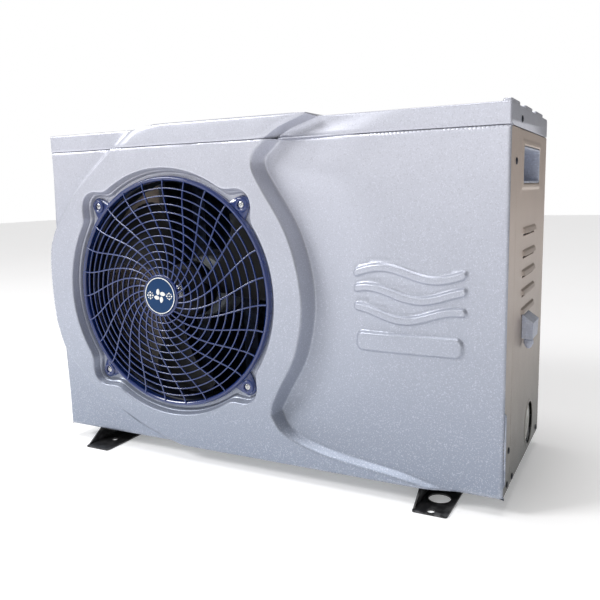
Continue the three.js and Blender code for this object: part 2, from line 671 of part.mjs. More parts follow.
place('handle_cup_right', handleCup(), greyPlastic);
place('handle_cup_left', mirrored(handleCup()), greyPlastic);
place('cable_cover', cableCover(), greyPlastic);
place('cable_gland', cableGland(), greyPlastic);
place('lid_screw_right', screw('X', [WIDTH, LID_SCREW.y, LID_SCREW.z], 1), screwSteel);
place('lid_screw_left', screw('X', [0, LID_SCREW.y, LID_SCREW.z], -1), screwSteel);
SIDE_SCREWS.forEach(([y, z], i) => {
  place(`side_screw_right_${i + 1}`, screw('X', [WIDTH, y, z], 1), screwSteel);
  place(`side_screw_left_${i + 1}`, screw('X', [0, y, z], -1), screwSteel);
});

place('bulkhead', bulkhead(), zincSteel);
place('fan_shroud', fanShroud(), zincSteel);
place('evaporator_coil', coilBlock(), aluminiumFin);
place('coil_plate_left', coilPlate(42 - GAP - SHEET), zincSteel);
place('coil_plate_right', coilPlate(448 + GAP), zincSteel);
place('fan_motor', fanMotor(), castMotor);
place('motor_bracket', motorBracket(), zincSteel);
place('fan_blade', fanBlade(), blackPlastic);
place('fan_shaft', fanShaft(), screwSteel);
place('fan_nut', fanNut(), screwSteel);

place('compressor', compressor(), blackEnamel);
[0, 1, 2].forEach((i) => place(`compressor_mount_${i + 1}`, compressorMount(i), rubber));
place('accumulator', accumulator(), blackEnamel);
place('four_way_valve', fourWayValve(), brass);
place('expansion_valve', expansionValve(), brass);
place('discharge_pipe', dischargePipe(), copper);
place('suction_pipe', suctionPipe(), copper);
place('liquid_pipe', liquidPipe(), copper);

place('heat_exchanger', heatExchanger(), whitePlastic);
place('water_outlet', waterOutlet(), whitePlastic);
place('outlet_nut', outletNut(), whitePlastic);
place('water_inlet', waterInlet(), whitePlastic);
place('inlet_nut', inletNut(), whitePlastic);
place('flow_switch', flowSwitch(), blackPlastic);
place('control_box', controlBox(), zincSteel);
place('control_box_lid', controlBoxLid(), zincSteel);

const heatPump = new THREE.Group();
heatPump.add(cabinet);

export default heatPump;
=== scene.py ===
"""Looks of a pool and spa heat pump unit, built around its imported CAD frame.

Shapes are written in millimetres in the cabinet's own frame: X to the right from the body's left
side, Y towards the back from the flat part of the front, Z up from the underside of the base pan.
"""
import bpy
import bmesh
import json
import math
from mathutils import Vector, Matrix, kdtree, geometry


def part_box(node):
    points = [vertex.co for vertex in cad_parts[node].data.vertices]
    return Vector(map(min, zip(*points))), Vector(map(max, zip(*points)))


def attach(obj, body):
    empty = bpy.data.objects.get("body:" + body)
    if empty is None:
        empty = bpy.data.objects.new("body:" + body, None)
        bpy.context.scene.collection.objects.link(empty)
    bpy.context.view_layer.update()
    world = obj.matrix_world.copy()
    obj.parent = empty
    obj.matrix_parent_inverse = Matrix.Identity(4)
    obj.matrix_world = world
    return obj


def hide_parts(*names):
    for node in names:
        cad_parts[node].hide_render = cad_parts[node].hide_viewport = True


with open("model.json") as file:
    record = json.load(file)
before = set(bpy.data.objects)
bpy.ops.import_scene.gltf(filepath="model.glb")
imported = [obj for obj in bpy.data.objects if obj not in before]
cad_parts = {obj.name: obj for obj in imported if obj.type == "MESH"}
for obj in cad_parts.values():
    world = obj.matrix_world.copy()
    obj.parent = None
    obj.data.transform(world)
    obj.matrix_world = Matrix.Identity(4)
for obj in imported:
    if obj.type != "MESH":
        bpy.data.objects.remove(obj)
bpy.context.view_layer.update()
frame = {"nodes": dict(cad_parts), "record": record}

MM = 0.001
W, D, SEAM, TOP = 737.0, 286.0, 463.0, 490.0
FAN = (232.0, 241.0)                      # fan axis, X and Z
left_low, left_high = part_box("left_side_panel")
ORIGIN = Vector((left_low.x, left_high.y - D * MM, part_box("base_pan")[0].z))


def row(x, y, z):
    """A point of the cabinet's frame, as a point of the row's frame in metres."""
    return ORIGIN + Vector((x, y, z)) * MM


# ---- materials -----------------------------------------------------------------------------------

LOOKS = {}


def linear(r, g, b):
    """A screen colour, 0 to 255, as a linear colour."""
    def channel(v):
        v /= 255.0
        return v / 12.92 if v <= 0.04045 else ((v + 0.055) / 1.055) ** 2.4
    return (channel(r), channel(g), channel(b), 1.0)


def scaled(colour, k):
    return tuple(min(1.0, c * k) for c in colour[:3]) + (1.0,)


def look(name, colour, rough, metal=0.0, mottle=0.06, mottle_scale=14.0, speck=0.0, speck_scale=600.0,
         bump=0.05, bump_scale=400.0, bump_mm=0.3, wear=None, wear_amount=0.5, coat=0.0, brushed=None,
         painted_low_shade=None, hollow_shade=0.0, gloss=0.5):
    """A procedural material: mottled and speckled colour, worn edges, uneven gloss and a fine relief. Where
    asked, it also paints shade into the colour, darker in hollows and towards the bottom.
    """
    material = bpy.data.materials.new(name)
    material.use_nodes = True
    nodes = material.node_tree.nodes
    links = material.node_tree.links
    shader = nodes["Principled BSDF"]
    place = nodes.new("ShaderNodeTexCoord").outputs["Object"]

    def noise(scale, detail=4.0, stretch=None):
        source = place
        if stretch:
            mapping = nodes.new("ShaderNodeMapping")
            mapping.inputs["Scale"].default_value = stretch
            links.new(place, mapping.inputs["Vector"])
            source = mapping.outputs["Vector"]
        node = nodes.new("ShaderNodeTexNoise")
        node.inputs["Scale"].default_value = scale
        node.inputs["Detail"].default_value = detail
        links.new(source, node.inputs["Vector"])
        return node.outputs["Fac"]

    def remap(value, low, high, to_low, to_high):
        node = nodes.new("ShaderNodeMapRange")
        node.inputs["From Min"].default_value = low
        node.inputs["From Max"].default_value = high
        node.inputs["To Min"].default_value = to_low
        node.inputs["To Max"].default_value = to_high
        links.new(value, node.inputs["Value"])
        return node.outputs["Result"]

    def mix(factor, first, second):
        node = nodes.new("ShaderNodeMix")
        node.data_type = "RGBA"
        links.new(factor, node.inputs["Factor"])
        for socket, value in ((node.inputs["A"], first), (node.inputs["B"], second)):
            if isinstance(value, tuple):
                socket.default_value = value
            else:
                links.new(value, socket)
        return node.outputs["Result"]

    large = noise(mottle_scale)
    tone = mix(remap(large, 0.3, 0.7, 0.0, 1.0), scaled(colour, 1 - mottle), scaled(colour, 1 + mottle))
    # painted shade: the colour darkens towards the bottom (low Z), as on a body lit from above
    if painted_low_shade:
        height = nodes.new("ShaderNodeSeparateXYZ")
        links.new(place, height.inputs[0])
        tone = mix(remap(height.outputs["Z"], painted_low_shade[1], painted_low_shade[2], 0.0, 1.0), painted_low_shade[0], tone)
    if speck:
        fine = noise(speck_scale, 2.0)
        tone = mix(remap(fine, 0.56, 0.68, 0.0, speck), tone, scaled(colour, 1.5))
        other = noise(speck_scale * 0.83, 2.0)
        tone = mix(remap(other, 0.57, 0.69, 0.0, speck), tone, scaled(colour, 0.55))
    spread = 0.015 + min(0.06, 0.5 * mottle)
    rough_value = remap(noise(mottle_scale * 2.3), 0.3, 0.7, max(0.02, rough - spread),
                        min(1.0, rough + spread))
    if wear:
        point = nodes.new("ShaderNodeNewGeometry").outputs["Pointiness"]
        edge = remap(point, 0.515, 0.56, 0.0, wear_amount)
        broken = nodes.new("ShaderNodeMath")
        broken.operation = "MULTIPLY"
        links.new(edge, broken.inputs[0])
        links.new(remap(noise(90.0), 0.42, 0.58, 0.0, 1.0), broken.inputs[1])
        tone = mix(broken.outputs[0], tone, wear)
    # painted shade: the colour darkens in hollows, creases and recesses (low pointiness)
    if hollow_shade:
        hollow = nodes.new("ShaderNodeNewGeometry").outputs["Pointiness"]
        tone = mix(remap(hollow, 0.49, 0.44, 0.0, hollow_shade), tone, scaled(colour, 0.35))
    links.new(tone, shader.inputs["Base Color"])
    links.new(rough_value, shader.inputs["Roughness"])
    shader.inputs["Metallic"].default_value = metal
    shader.inputs["Specular IOR Level"].default_value = gloss
    if coat:
        shader.inputs["Coat Weight"].default_value = coat
        shader.inputs["Coat Roughness"].default_value = 0.12
    relief = noise(bump_scale, 3.0, brushed)
    bump_node = nodes.new("ShaderNodeBump")
    bump_node.inputs["Strength"].default_value = bump
    bump_node.inputs["Distance"].default_value = bump_mm * MM
    links.new(relief, bump_node.inputs["Height"])
    links.new(bump_node.outputs["Normal"], shader.inputs["Normal"])
    LOOKS[name] = material
    return material


# pearl plastic: painted shade, the moulding darkens to a blue-grey towards the bottom
look("pearl_plastic", linear(198, 200, 211), 0.36, 0.4, mottle=0.02, speck=0.3, speck_scale=620.0,
     bump=0.45, bump_scale=560.0, bump_mm=0.18, wear=linear(226, 228, 235), wear_amount=0.2,
     painted_low_shade=(linear(132, 142, 159), -0.02, 0.46))
look("navy_plastic", linear(10, 38, 100), 0.3, 0.0, mottle=0.1, bump=0.12, bump_scale=260.0,
     wear=linear(60, 90, 150), wear_amount=0.3, coat=1.0)
look("badge_plastic", linear(4, 52, 96), 0.42, 0.0, mottle=0.08, bump=0.1, wear=linear(60, 110, 150),
     gloss=0.25)
# satin steel: painted reflection and shade, the sheet turns darker and greener towards the bottom
for steel, worn in (("satin_steel", linear(205, 203, 198)), ("satin_steel_plain", None)):
    look(steel, linear(214, 198, 187), 0.42, 0.42, mottle=0.02, speck=0.12, speck_scale=800.0, bump=0.15,
         bump_scale=600.0, bump_mm=0.1, wear=worn, wear_amount=0.25, painted_low_shade=(linear(44, 62, 65), -0.02, 0.38))
look("zinc_steel", linear(172, 176, 180), 0.44, 0.8, mottle=0.06, mottle_scale=70.0, speck=0.15,
     speck_scale=260.0,
     bump=0.12, bump_scale=300.0, wear=linear(215, 216, 218), hollow_shade=0.4)
look("zinc_steel_plain", linear(172, 176, 180), 0.44, 0.8, mottle=0.06, mottle_scale=70.0, speck=0.15,
     speck_scale=260.0, bump=0.12, bump_scale=300.0)
look("black_steel", linear(26, 26, 28), 0.42, 0.1, mottle=0.15, bump=0.4, bump_scale=700.0, bump_mm=0.2,
     wear=linear(110, 110, 112), wear_amount=0.55)
look("grey_plastic", linear(184, 190, 207), 0.52, 0.0, mottle=0.05, speck=0.35, speck_scale=420.0, bump=0.5,
     bump_scale=520.0, bump_mm=0.3, wear=linear(215, 220, 228), hollow_shade=0.35)
look("black_plastic", linear(7, 8, 12), 0.5, 0.0, mottle=0.15, bump=0.3, bump_scale=500.0,
     wear=linear(60, 64, 76), wear_amount=0.4, gloss=0.22)
look("screw_steel", linear(196, 197, 199), 0.22, 1.0, mottle=0.1, mottle_scale=200.0, bump=0.1,
     bump_scale=900.0,
     wear=linear(240, 240, 240), hollow_shade=0.7)
look("coil_aluminium", linear(182, 188, 193), 0.34, 0.9, mottle=0.1, mottle_scale=30.0, bump=0.3,
     bump_scale=300.0,
     wear=linear(225, 228, 230), hollow_shade=0.3)
look("cast_motor", linear(110, 114, 118), 0.5, 0.6, mottle=0.12, bump=0.7, bump_scale=260.0, bump_mm=0.5,
     wear=linear(180, 184, 186), hollow_shade=0.4)
look("black_enamel", linear(28, 29, 31), 0.3, 0.1, mottle=0.12, bump=0.3, bump_scale=160.0, bump_mm=0.4,
     wear=linear(100, 100, 102), coat=0.3)
look("mount_rubber", linear(26, 26, 26), 0.82, 0.0, mottle=0.15, bump=0.5, bump_scale=600.0)
look("white_plastic", linear(226, 227, 223), 0.3, 0.0, mottle=0.03, bump=0.12, bump_scale=260.0,
     wear=linear(250, 250, 250), hollow_shade=0.35, coat=0.2)
look("valve_brass", linear(182, 146, 84), 0.3, 0.95, mottle=0.1, bump=0.2, bump_scale=500.0,
     wear=linear(230, 205, 150), hollow_shade=0.5)
look("copper_tube", linear(184, 112, 74), 0.28, 0.95, mottle=0.16, mottle_scale=30.0, bump=0.15,
     bump_scale=260.0,
     wear=linear(226, 160, 122), hollow_shade=0.4)
# a dark coat for the side screws; on the air shroud and motor bracket this dark look is painted shade for the
# dark inside of the cabinet
look("dark_coat_and_shade", linear(14, 19, 32), 0.4, 0.1, mottle=0.12, bump=0.2, bump_scale=400.0,
     wear=linear(60, 72, 98), wear_amount=0.4, hollow_shade=0.3, gloss=0.35)
# painted shade: a darkened copy of the coil metal, laid on the coil's fins and tubes inside the cabinet
look("shaded_coil_metal", linear(78, 90, 108), 0.35, 0.7, mottle=0.03, mottle_scale=30.0, bump=0.2, bump_scale=300.0,
     wear=linear(120, 135, 160), wear_amount=0.4, hollow_shade=0.3)
look("floor_paint", linear(246, 246, 247), 0.8, 0.0, mottle=0.01, mottle_scale=3.0, bump=0.02, gloss=0.1)
LOOKS["floor_paint"].node_tree.nodes["Principled BSDF"].inputs["Emission Color"].default_value = (1, 1, 1, 1)
LOOKS["floor_paint"].node_tree.nodes["Principled BSDF"].inputs["Emission Strength"].default_value = 0.22


# ---- mesh helpers --------------------------------------------------------------------------------

REPLACED = set()


# coat, when given, replaces the slot's look; the darkened looks on the coil and the air shroud are painted
# shade
def piece(name, verts, faces, slot, nodes=(), body="cabinet", sharp=42, closed=True, coat=None):
    """A new mesh in the cabinet's frame, riding on a CAD body and standing for its CAD nodes."""
    mesh = bpy.data.meshes.new(name)
    mesh.from_pydata([row(*v) for v in verts], [], faces)
    shape = bmesh.new()
    shape.from_mesh(mesh)
    bmesh.ops.remove_doubles(shape, verts=shape.verts, dist=0.00001)
    bmesh.ops.dissolve_degenerate(shape, edges=shape.edges, dist=0.000005)
    if closed:
        bmesh.ops.recalc_face_normals(shape, faces=shape.faces)
    shape.to_mesh(mesh)
    shape.free()
    mesh.shade_smooth()
    mesh.set_sharp_from_angle(angle=math.radians(sharp))
    mesh.materials.append(LOOKS[coat or slot])
    obj = bpy.data.objects.new(name, mesh)
    bpy.context.scene.collection.objects.link(obj)
    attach(obj, body)
    if nodes:
        names = [nodes] if isinstance(nodes, str) else nodes
        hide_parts(*names)
        REPLACED.update(names)
    return obj


def bevel(obj, width, segments=3, angle=38):
    tool = obj.modifiers.new("edges", "BEVEL")
    tool.width = width * MM
    tool.segments = segments
    tool.limit_method = "ANGLE"
    tool.angle_limit = math.radians(angle)
    tool.harden_normals = True
    return obj


def thicken(obj, thickness, offset=-1.0):
    tool = obj.modifiers.new("wall", "SOLIDIFY")
    tool.thickness = thickness * MM
    tool.offset = offset
    tool.use_rim = True
    return obj


class Parts:
    """Collects several shapes into one mesh."""

    def __init__(self):
        self.verts = []
        self.faces = []

    def add(self, verts, faces):
        base = len(self.verts)
        self.verts += verts
        self.faces += [tuple(i + base for i in face) for face in faces]
        return self

    def piece(self, name, slot, **options):
        return piece(name, self.verts, self.faces, slot, **options)


def axes(axis):
    """Along, first and second directions for shapes turned about X, Y or Z."""
    return {
        "X": (Vector((1, 0, 0)), Vector((0, 1, 0)), Vector((0, 0, 1))),
        "Y": (Vector((0, 1, 0)), Vector((1, 0, 0)), Vector((0, 0, 1))),
        "Z": (Vector((0, 0, 1)), Vector((1, 0, 0)), Vector((0, 1, 0))),
    }[axis]


def revolve(profile, axis, centre, sides=64, wobble=None):
    """Turns (radius, along) points about an axis. A profile that doesn't start and end on the axis
    is closed on itself."""
    along, first, second = axes(axis)
    centre = Vector(centre)
    verts, rings = [], []
    for r, a in profile:
        if r < 1e-6:
            rings.append([len(verts)])
            verts.append(tuple(centre + along * a))
            continue
        ring = []
        for i in range(sides):
            turn = 2 * math.pi * i / sides
            rr = r * (wobble(turn, r) if wobble else 1.0)
            ring.append(len(verts))
            verts.append(tuple(centre + along * a + first * (rr * math.cos(turn)) + second
                               * (rr * math.sin(turn))))
        rings.append(ring)
    pairs = list(zip(rings, rings[1:]))
    if profile[0][0] > 1e-6 or profile[-1][0] > 1e-6:
        pairs.append((rings[-1], rings[0]))
    faces = []
    for a, b in pairs:
        if len(a) == 1 and len(b) == 1:
            continue
        for i in range(sides):
            j = (i + 1) % sides
            if len(a) == 1:
                faces.append((a[0], b[i], b[j]))
            elif len(b) == 1:
                faces.append((a[i], b[0], a[j]))
            else:
                faces.append((a[i], b[i], b[j], a[j]))
    return verts, faces


def fillet(points, radius, steps=4):
    """Rounds the inner corners of an open profile of (r, along) points."""
    out = [points[0]]
    for before, here, after in zip(points, points[1:], points[2:]):
        a, b, c = Vector(before), Vector(here), Vector(after)
        u, v = (a - b), (c - b)
        reach = min(radius, u.length * 0.45, v.length * 0.45)
        if reach < 0.05:
            out.append(here)
            continue
        p, q = b + u.normalized() * reach, b + v.normalized() * reach
        for i in range(steps + 1):
            t = i / steps
            out.append(tuple(p * (1 - t) ** 2 + b * (2 * t * (1 - t)) + q * t * t))
    out.append(points[-1])
    return out


def sweep(path, section, up=Vector((0, 1, 0)), closed=False, scale=None):
    """Carries a closed (u, v) section along a path. v stays near the up direction."""
    path = [Vector(p) for p in path]
    verts, faces = [], []
    n, m = len(path), len(section)
    for i, p in enumerate(path):
        before = path[i - 1] if (closed or i > 0) else p
        after = path[(i + 1) % n] if (closed or i < n - 1) else p
        ahead = (after - before).normalized()
        side = ahead.cross(up).normalized()
        lift = side.cross(ahead).normalized()
        k = scale(i / (n - 1)) if scale else 1.0
        for u, v in section:
            verts.append(tuple(p + side * (u * k) + lift * (v * k)))
    for i in range(n if closed else n - 1):
        a, b = i * m, ((i + 1) % n) * m
        for j in range(m):
            k = (j + 1) % m
            faces.append((a + j, a + k, b + k, b + j))
    if not closed:
        faces.append(tuple(range(m - 1, -1, -1)))
        faces.append(tuple((n - 1) * m + j for j in range(m)))
    return verts, faces


def tube(path, r, sides=14):
    """A round tube along a smooth path, with its frame carried along the bends."""
    points = smooth_path([Vector(p) for p in path], 10)
    verts, faces = [], []
    side = (points[1] - points[0]).orthogonal().normalized()
    for i, p in enumerate(points):
        ahead = (points[min(i + 1, len(points) - 1)] - points[max(i - 1, 0)]).normalized()
        side = (side - ahead * side.dot(ahead)).normalized()
        other = ahead.cross(side)
        for k in range(sides):
            turn = 2 * math.pi * k / sides
            verts.append(tuple(p + (side * math.cos(turn) + other * math.sin(turn)) * r))
    for i in range(len(points) - 1):
        for k in range(sides):
            j = (k + 1) % sides
            faces.append((i * sides + k, i * sides + j, (i + 1) * sides + j, (i + 1) * sides + k))
    faces.append(tuple(range(sides - 1, -1, -1)))
    faces.append(tuple((len(points) - 1) * sides + k for k in range(sides)))
    return verts, faces


def smooth_path(points, steps):
    """A Catmull-Rom curve through the points."""
    out = []
    for i in range(len(points) - 1):
        a = points[max(i - 1, 0)]
        b, c = points[i], points[i + 1]
        d = points[min(i + 2, len(points) - 1)]
        for s in range(steps):
            t = s / steps
            out.append(0.5 * ((2 * b) + (c - a) * t + (2 * a - 5 * b + 4 * c - d) * t * t
                              + (3 * b - a - 3 * c + d) * t ** 3))
    out.append(points[-1])
    return out


def rounded_section(width, height, radius, steps=3):
    """A rounded rectangle section, centred."""
    return rounded_outline(-width / 2, width / 2, -height / 2, height / 2, radius, steps)


def rounded_outline(x0, x1, y0, y1, radius, steps=6):
    out = []
    corners = [(x1 - radius, y1 - radius, 0), (x0 + radius, y1 - radius, 90),
               (x0 + radius, y0 + radius, 180), (x1 - radius, y0 + radius, 270)]
    for cx, cy, start in corners:
        for i in range(steps + 1):
            turn = math.radians(start + 90 * i / steps)
            out.append((cx + radius * math.cos(turn), cy + radius * math.sin(turn)))
    return out


def circle(cx, cy, r, count=48):
    return [(cx + r * math.cos(2 * math.pi * i / count), cy + r * math.sin(2 * math.pi * i / count))
            for i in range(count)]


def inside(polygon, x, y):
    hit = False
    j = len(polygon) - 1
    for i in range(len(polygon)):
        (x0, y0), (x1, y1) = polygon[i], polygon[j]
        if (y0 > y) != (y1 > y) and x < (x1 - x0) * (y - y0) / (y1 - y0) + x0:
            hit = not hit
        j = i
    return hit


def triangulate(outer, holes, extra=()):
    """Points and triangles that fill an outline around its holes, with extra points inside."""
    points, edges, taken = [], [], set()

    def put(p):
        key = (round(p[0] / 0.3), round(p[1] / 0.3))
        taken.add(key)
        points.append(Vector((p[0], p[1])))
        return len(points) - 1

    for loop in [outer, *holes]:
        index = [put(p) for p in loop]
        edges += [(a, b) for a, b in zip(index, index[1:] + index[:1])]
    for p in extra:
        key = (round(p[0] / 0.3), round(p[1] / 0.3))
        if key in taken:
            continue
        put(p)
    verts, _, faces, *_ = geometry.delaunay_2d_cdt(points, edges, [], 1, 1e-4, False)
    kept = []
    for face in faces:
        cx = sum(verts[i].x for i in face) / 3
        cy = sum(verts[i].y for i in face) / 3
        if not any(inside(hole, cx, cy) for hole in holes):
            kept.append(tuple(face))
    return [(v.x, v.y) for v in verts], kept


def plate(outer, holes, to_space, low, high, extra=()):
    """A flat plate with holes, as a closed solid between two levels."""
    points, faces = triangulate(outer, holes, extra)
    count = len(points)
    verts = [to_space(x, y, high) for x, y in points] + [to_space(x, y, low) for x, y in points]
    all_faces = list(faces) + [tuple(i + count for i in reversed(face)) for face in faces]
    uses = {}
    for face in faces:
        for a, b in zip(face, face[1:] + face[:1]):
            uses[(a, b)] = True
    for a, b in list(uses):
        if (b, a) not in uses:
            all_faces.append((b, a, a + count, b + count))
    return verts, all_faces


def box(x0, x1, y0, y1, z0, z1):
    verts = [(x, y, z) for x in (x0, x1) for y in (y0, y1) for z in (z0, z1)]
    faces = [(0, 1, 3, 2), (4, 6, 7, 5), (0, 4, 5, 1), (2, 3, 7, 6), (0, 2, 6, 4), (1, 5, 7, 3)]
    return verts, faces


def ramp(u, k):
    """Rises from 0 to 1 between u = 0 and 1, with both ends rounded over k."""
    def soft(v):
        if v <= -k:
            return 0.0
        if v < k:
            return (v + k) ** 2 / (4 * k)
        return v
    return soft(u) - soft(u - 1)


def smoothstep(v, low, high):
    t = min(1.0, max(0.0, (v - low) / (high - low)))
    return t * t * (3 - 2 * t)


# ---- front moulding ------------------------------------------------------------------------------

LEFT_EDGE = [(0, 250), (16, 199), (30, 160), (50, 121), (74, 82), (100, 50), (135, 18), (175, 3), (215, -2.4),
             (258, -3.8), (298, -1.6), (325, 6), (348, 20), (392, 56), (421, 89), (463, 143)]
WAVE_EDGE = [(0, 640), (9, 598), (20, 513), (31, 464), (47, 429), (64, 415), (80, 411), (110, 424),
             (160, 451), (215, 464), (262, 463.5), (310, 453), (351, 435.5), (395, 408), (424, 393),
             (445, 396),
             (463, 415.5)]


class Edge:
    """A smooth curve over the face, with the signed distance to it. Positive lies to its right."""

    def __init__(self, table):
        points = [Vector((x, z)) for z, x in table]
        first = points[0] + (points[0] - points[1]).normalized() * 40
        last = points[-1] + (points[-1] - points[-2]).normalized() * 40
        coarse = smooth_path([first, *points, last], 14)
        self.points = [coarse[0]]
        for p in coarse[1:]:
            gap = p - self.points[-1]
            steps = max(1, int(gap.length / 1.5))
            start = self.points[-1].copy()
            self.points += [start + gap * (i + 1) / steps for i in range(steps)]
        self.tree = kdtree.KDTree(len(self.points))
        for i, p in enumerate(self.points):
            self.tree.insert((p.x, p.y, 0), i)
        self.tree.balance()

    def distance(self, x, z):
        p = Vector((x, z))
        _, i, _ = self.tree.find((x, z, 0))
        best, sign = 1e9, 1
        for j in (i - 1, i):
            if j < 0 or j + 1 >= len(self.points):
                continue
            a, b = self.points[j], self.points[j + 1]
            ab = b - a
            t = min(1.0, max(0.0, (p - a).dot(ab) / ab.length_squared))
            gap = (p - (a + ab * t)).length
            if gap < best:
                best = gap
                sign = 1 if (ab.y * (p.x - a.x) - ab.x * (p.y - a.y)) > 0 else -1
        return best * sign

    def x_at(self, z):
        for a, b in zip(self.points, self.points[1:]):
            if a.y <= z < b.y:
                return a.x + (b.x - a.x) * (z - a.y) / (b.y - a.y)
        return self.points[-1].x

    def rows(self, offsets, spacing):
        """Points along curves parallel to this one."""
        out = []
        stride = max(1, int(spacing / 1.4))
        for i in range(1, len(self.points) - 1, stride):
            p = self.points[i]
            ahead = (self.points[i + 1] - self.points[i - 1]).normalized()
            right = Vector((ahead.y, -ahead.x))
            out += [tuple(p + right * d) for d in offsets]
        return out


left_edge = Edge(LEFT_EDGE)
wave_edge = Edge(WAVE_EDGE)
OPENING_R, EAR_REACH, EAR_R = 189.0, 134.0, 21.0
WALL = 8.5


def eared(x, z, circle_r, ear_r, blend):
    """Signed distance to a circle with four round ears, about the fan axis."""
    to_ear = math.hypot(abs(x) - EAR_REACH, abs(z) - EAR_REACH) - ear_r
    to_circle = math.hypot(x, z) - circle_r
    h = max(blend - abs(to_ear - to_circle), 0) / blend
    return min(to_ear, to_circle) - h * h * blend / 4


def eared_loop(offset, count, circle_r=OPENING_R, ear_r=EAR_R, blend=22.0):
    out = []
    for i in range(count):
        turn = 2 * math.pi * i / count
        r = circle_r
        for _ in range(30):
            r -= eared(r * math.cos(turn), r * math.sin(turn), circle_r, ear_r, blend) - offset
        out.append((FAN[0] + r * math.cos(turn), FAN[1] + r * math.sin(turn)))
    return out


def proud(z):
    return 11 + 5 * smoothstep(z, 0, 150)


def valley(z):
    return 12 * smoothstep(z, 15, 110) * (1 - 0.35 * smoothstep(z, 380, SEAM))


RIPPLES = [(284.0, 0.0), (257.0, 0.9), (230.0, 1.8)]
RIPPLE_X = (541.0, 683.0)
PLAIN_BAR = (541.0, 683.0, 180.0, 203.0)


def ripple_z(level, phase, x):
    return level + 7.5 * math.sin((x - RIPPLE_X[0]) / 22.6 + phase)


def emblem(x, z):
    """A generic raised motif: three ripples of water over a plain rounded bar."""
    height = 0.0
    if RIPPLE_X[0] - 8 < x < RIPPLE_X[1] + 8:
        for level, phase in RIPPLES:
            slope = math.cos((x - RIPPLE_X[0]) / 22.6 + phase) * 7.5 / 22.6
            across = abs(z - ripple_z(level, phase, x)) / math.sqrt(1 + slope * slope)
            end = max(RIPPLE_X[0] - x, x - RIPPLE_X[1], 0)
            height = max(height, 1 - ramp((math.hypot(across, end) - 3.6) / 2.8, 0.3))
    x0, x1, z0, z1 = PLAIN_BAR
    dx, dz = max(x0 + 8 - x, x - x1 + 8, 0), max(z0 + 8 - z, z - z1 + 8, 0)
    bar = 1 - ramp((math.hypot(dx, dz) - 7.5) / 3.0, 0.35)
    return 4.2 * max(height, bar)


def border_x(z):
    """Where the moulding's left border lies: at the side, or on the bulge where that reaches further."""
    return min(0.0, bulge_x(z) - 0.6)


def bulge_x(z):
    low, high = 175.0, 325.0
    if z <= low or z >= high:
        return 1.0
    return left_edge.x_at(z)


def face_y(x, z):
    """How deep the face lies at a place. The raised field is negative, towards the viewer."""
    inside_left = left_edge.distance(x, z)
    beyond = wave_edge.distance(x, z)
    p, v = proud(z), valley(z)
    if beyond > -6:
        rise = ramp(beyond / WALL, 0.2)
        recovery = 0.5 * (1 + math.cos(math.pi * min(1.0, max(0.0, (beyond - WALL) / 130.0))))
        y = -p + (p + v * recovery) * rise
    else:
        y = -p
    if inside_left < 8:
        room = (x - border_x(z)) - inside_left
        run = min(9.0, max(0.5, room * 0.9))
        y = -p * (1 - ramp(-inside_left / run, 0.28))
    if beyond > 20:
        y -= emblem(x, z)
    side = 3.2 if inside_left < -3 else 1.4
    edges = ((x - border_x(z), side), (W - x, 3.2), (z, 3.2), (SEAM - z, 1.6))
    for gap, r in edges:
        if gap < r:
            y += r - math.sqrt(max(0.0, r * r - (r - gap) ** 2))
    return y


def front_points():
    """Places where the face is sampled: rows along its features and a plain grid between them."""
    found = []
    found += left_edge.rows([-14, -11, -9.5, -8, -6.5, -5, -3.5, -2, -1, 0, 1.2, 2.6, 4.5, 8, 13], 5)
    found += wave_edge.rows([-14, -8, -4.5, -3, -2, -1, 0, 1, 2, 3.2, 4.4, 5.6, 6.6, 7.4, 8.2, 9, 9.8, 10.8,
                             13,
                             17, 23, 30], 4)
    for e in (0.35, 0.9, 1.6, 2.4, 3.3, 6.0):
        n = 140
        found += [(e + (W - 2 * e) * i / n, h) for i in range(n + 1) for h in (e, SEAM - e)]
        n = 96
        for i in range(n + 1):
            z = e + (SEAM - 2 * e) * i / n
            found += [(border_x(z) + e * k, z) for k in (0.5, 1.0)] + [(W - e, z)]
    for level, phase in RIPPLES:
        n = 54
        for i in range(-3, n + 4):
            x = RIPPLE_X[0] + (RIPPLE_X[1] - RIPPLE_X[0]) * i / n
            found += [(x, ripple_z(level, phase, x) + d)
                      for d in (-7, -5.8, -4.8, -3.8, -2.6, -1.2, 0, 1.2, 2.6, 3.8,
                                                                  4.8, 5.8, 7)]
        for x in RIPPLE_X:
            for r in (1.5, 2.8, 3.6, 4.4, 5.2, 6.0, 6.8):
                found += circle(x, ripple_z(level, phase, x), r, 28)
    x0, x1, z0, z1 = PLAIN_BAR
    for e in (-4, -3, -2, -1, 0, 1, 2.5):
        found += rounded_outline(x0 + e, x1 - e, z0 + e, z1 - e, max(1.0, 8 - e), 8)
        found += [(x0 + 10 + (x1 - x0 - 20) * i / 30, h) for i in range(31) for h in (z0 + e, z1 - e)]
    for offset in (4.2, 6.0, 9.0, 14.0):
        found += eared_loop(offset, 200)
    keep = []
    for x, z in found:
        if not (border_x(z) + 0.12 < x < W - 0.2 and 0.2 < z < SEAM - 0.2):
            continue
        if eared(x - FAN[0], z - FAN[1], OPENING_R, EAR_R, 22.0) < 3.6:
            continue
        keep.append((x, z))
    spacing = 9.0
    for i in range(1, int(W / spacing) + 1):
        for j in range(1, int(SEAM / spacing) + 1):
            x, z = i * spacing, j * spacing
            if not (7 < x < W - 7 and 7 < z < SEAM - 7):
                continue
            if eared(x - FAN[0], z - FAN[1], OPENING_R, EAR_R, 22.0) < 17:
                continue
            if -17 < wave_edge.distance(x, z) < 33 or -16 < left_edge.distance(x, z) < 16:
                continue
            keep.append((x, z))
    return keep


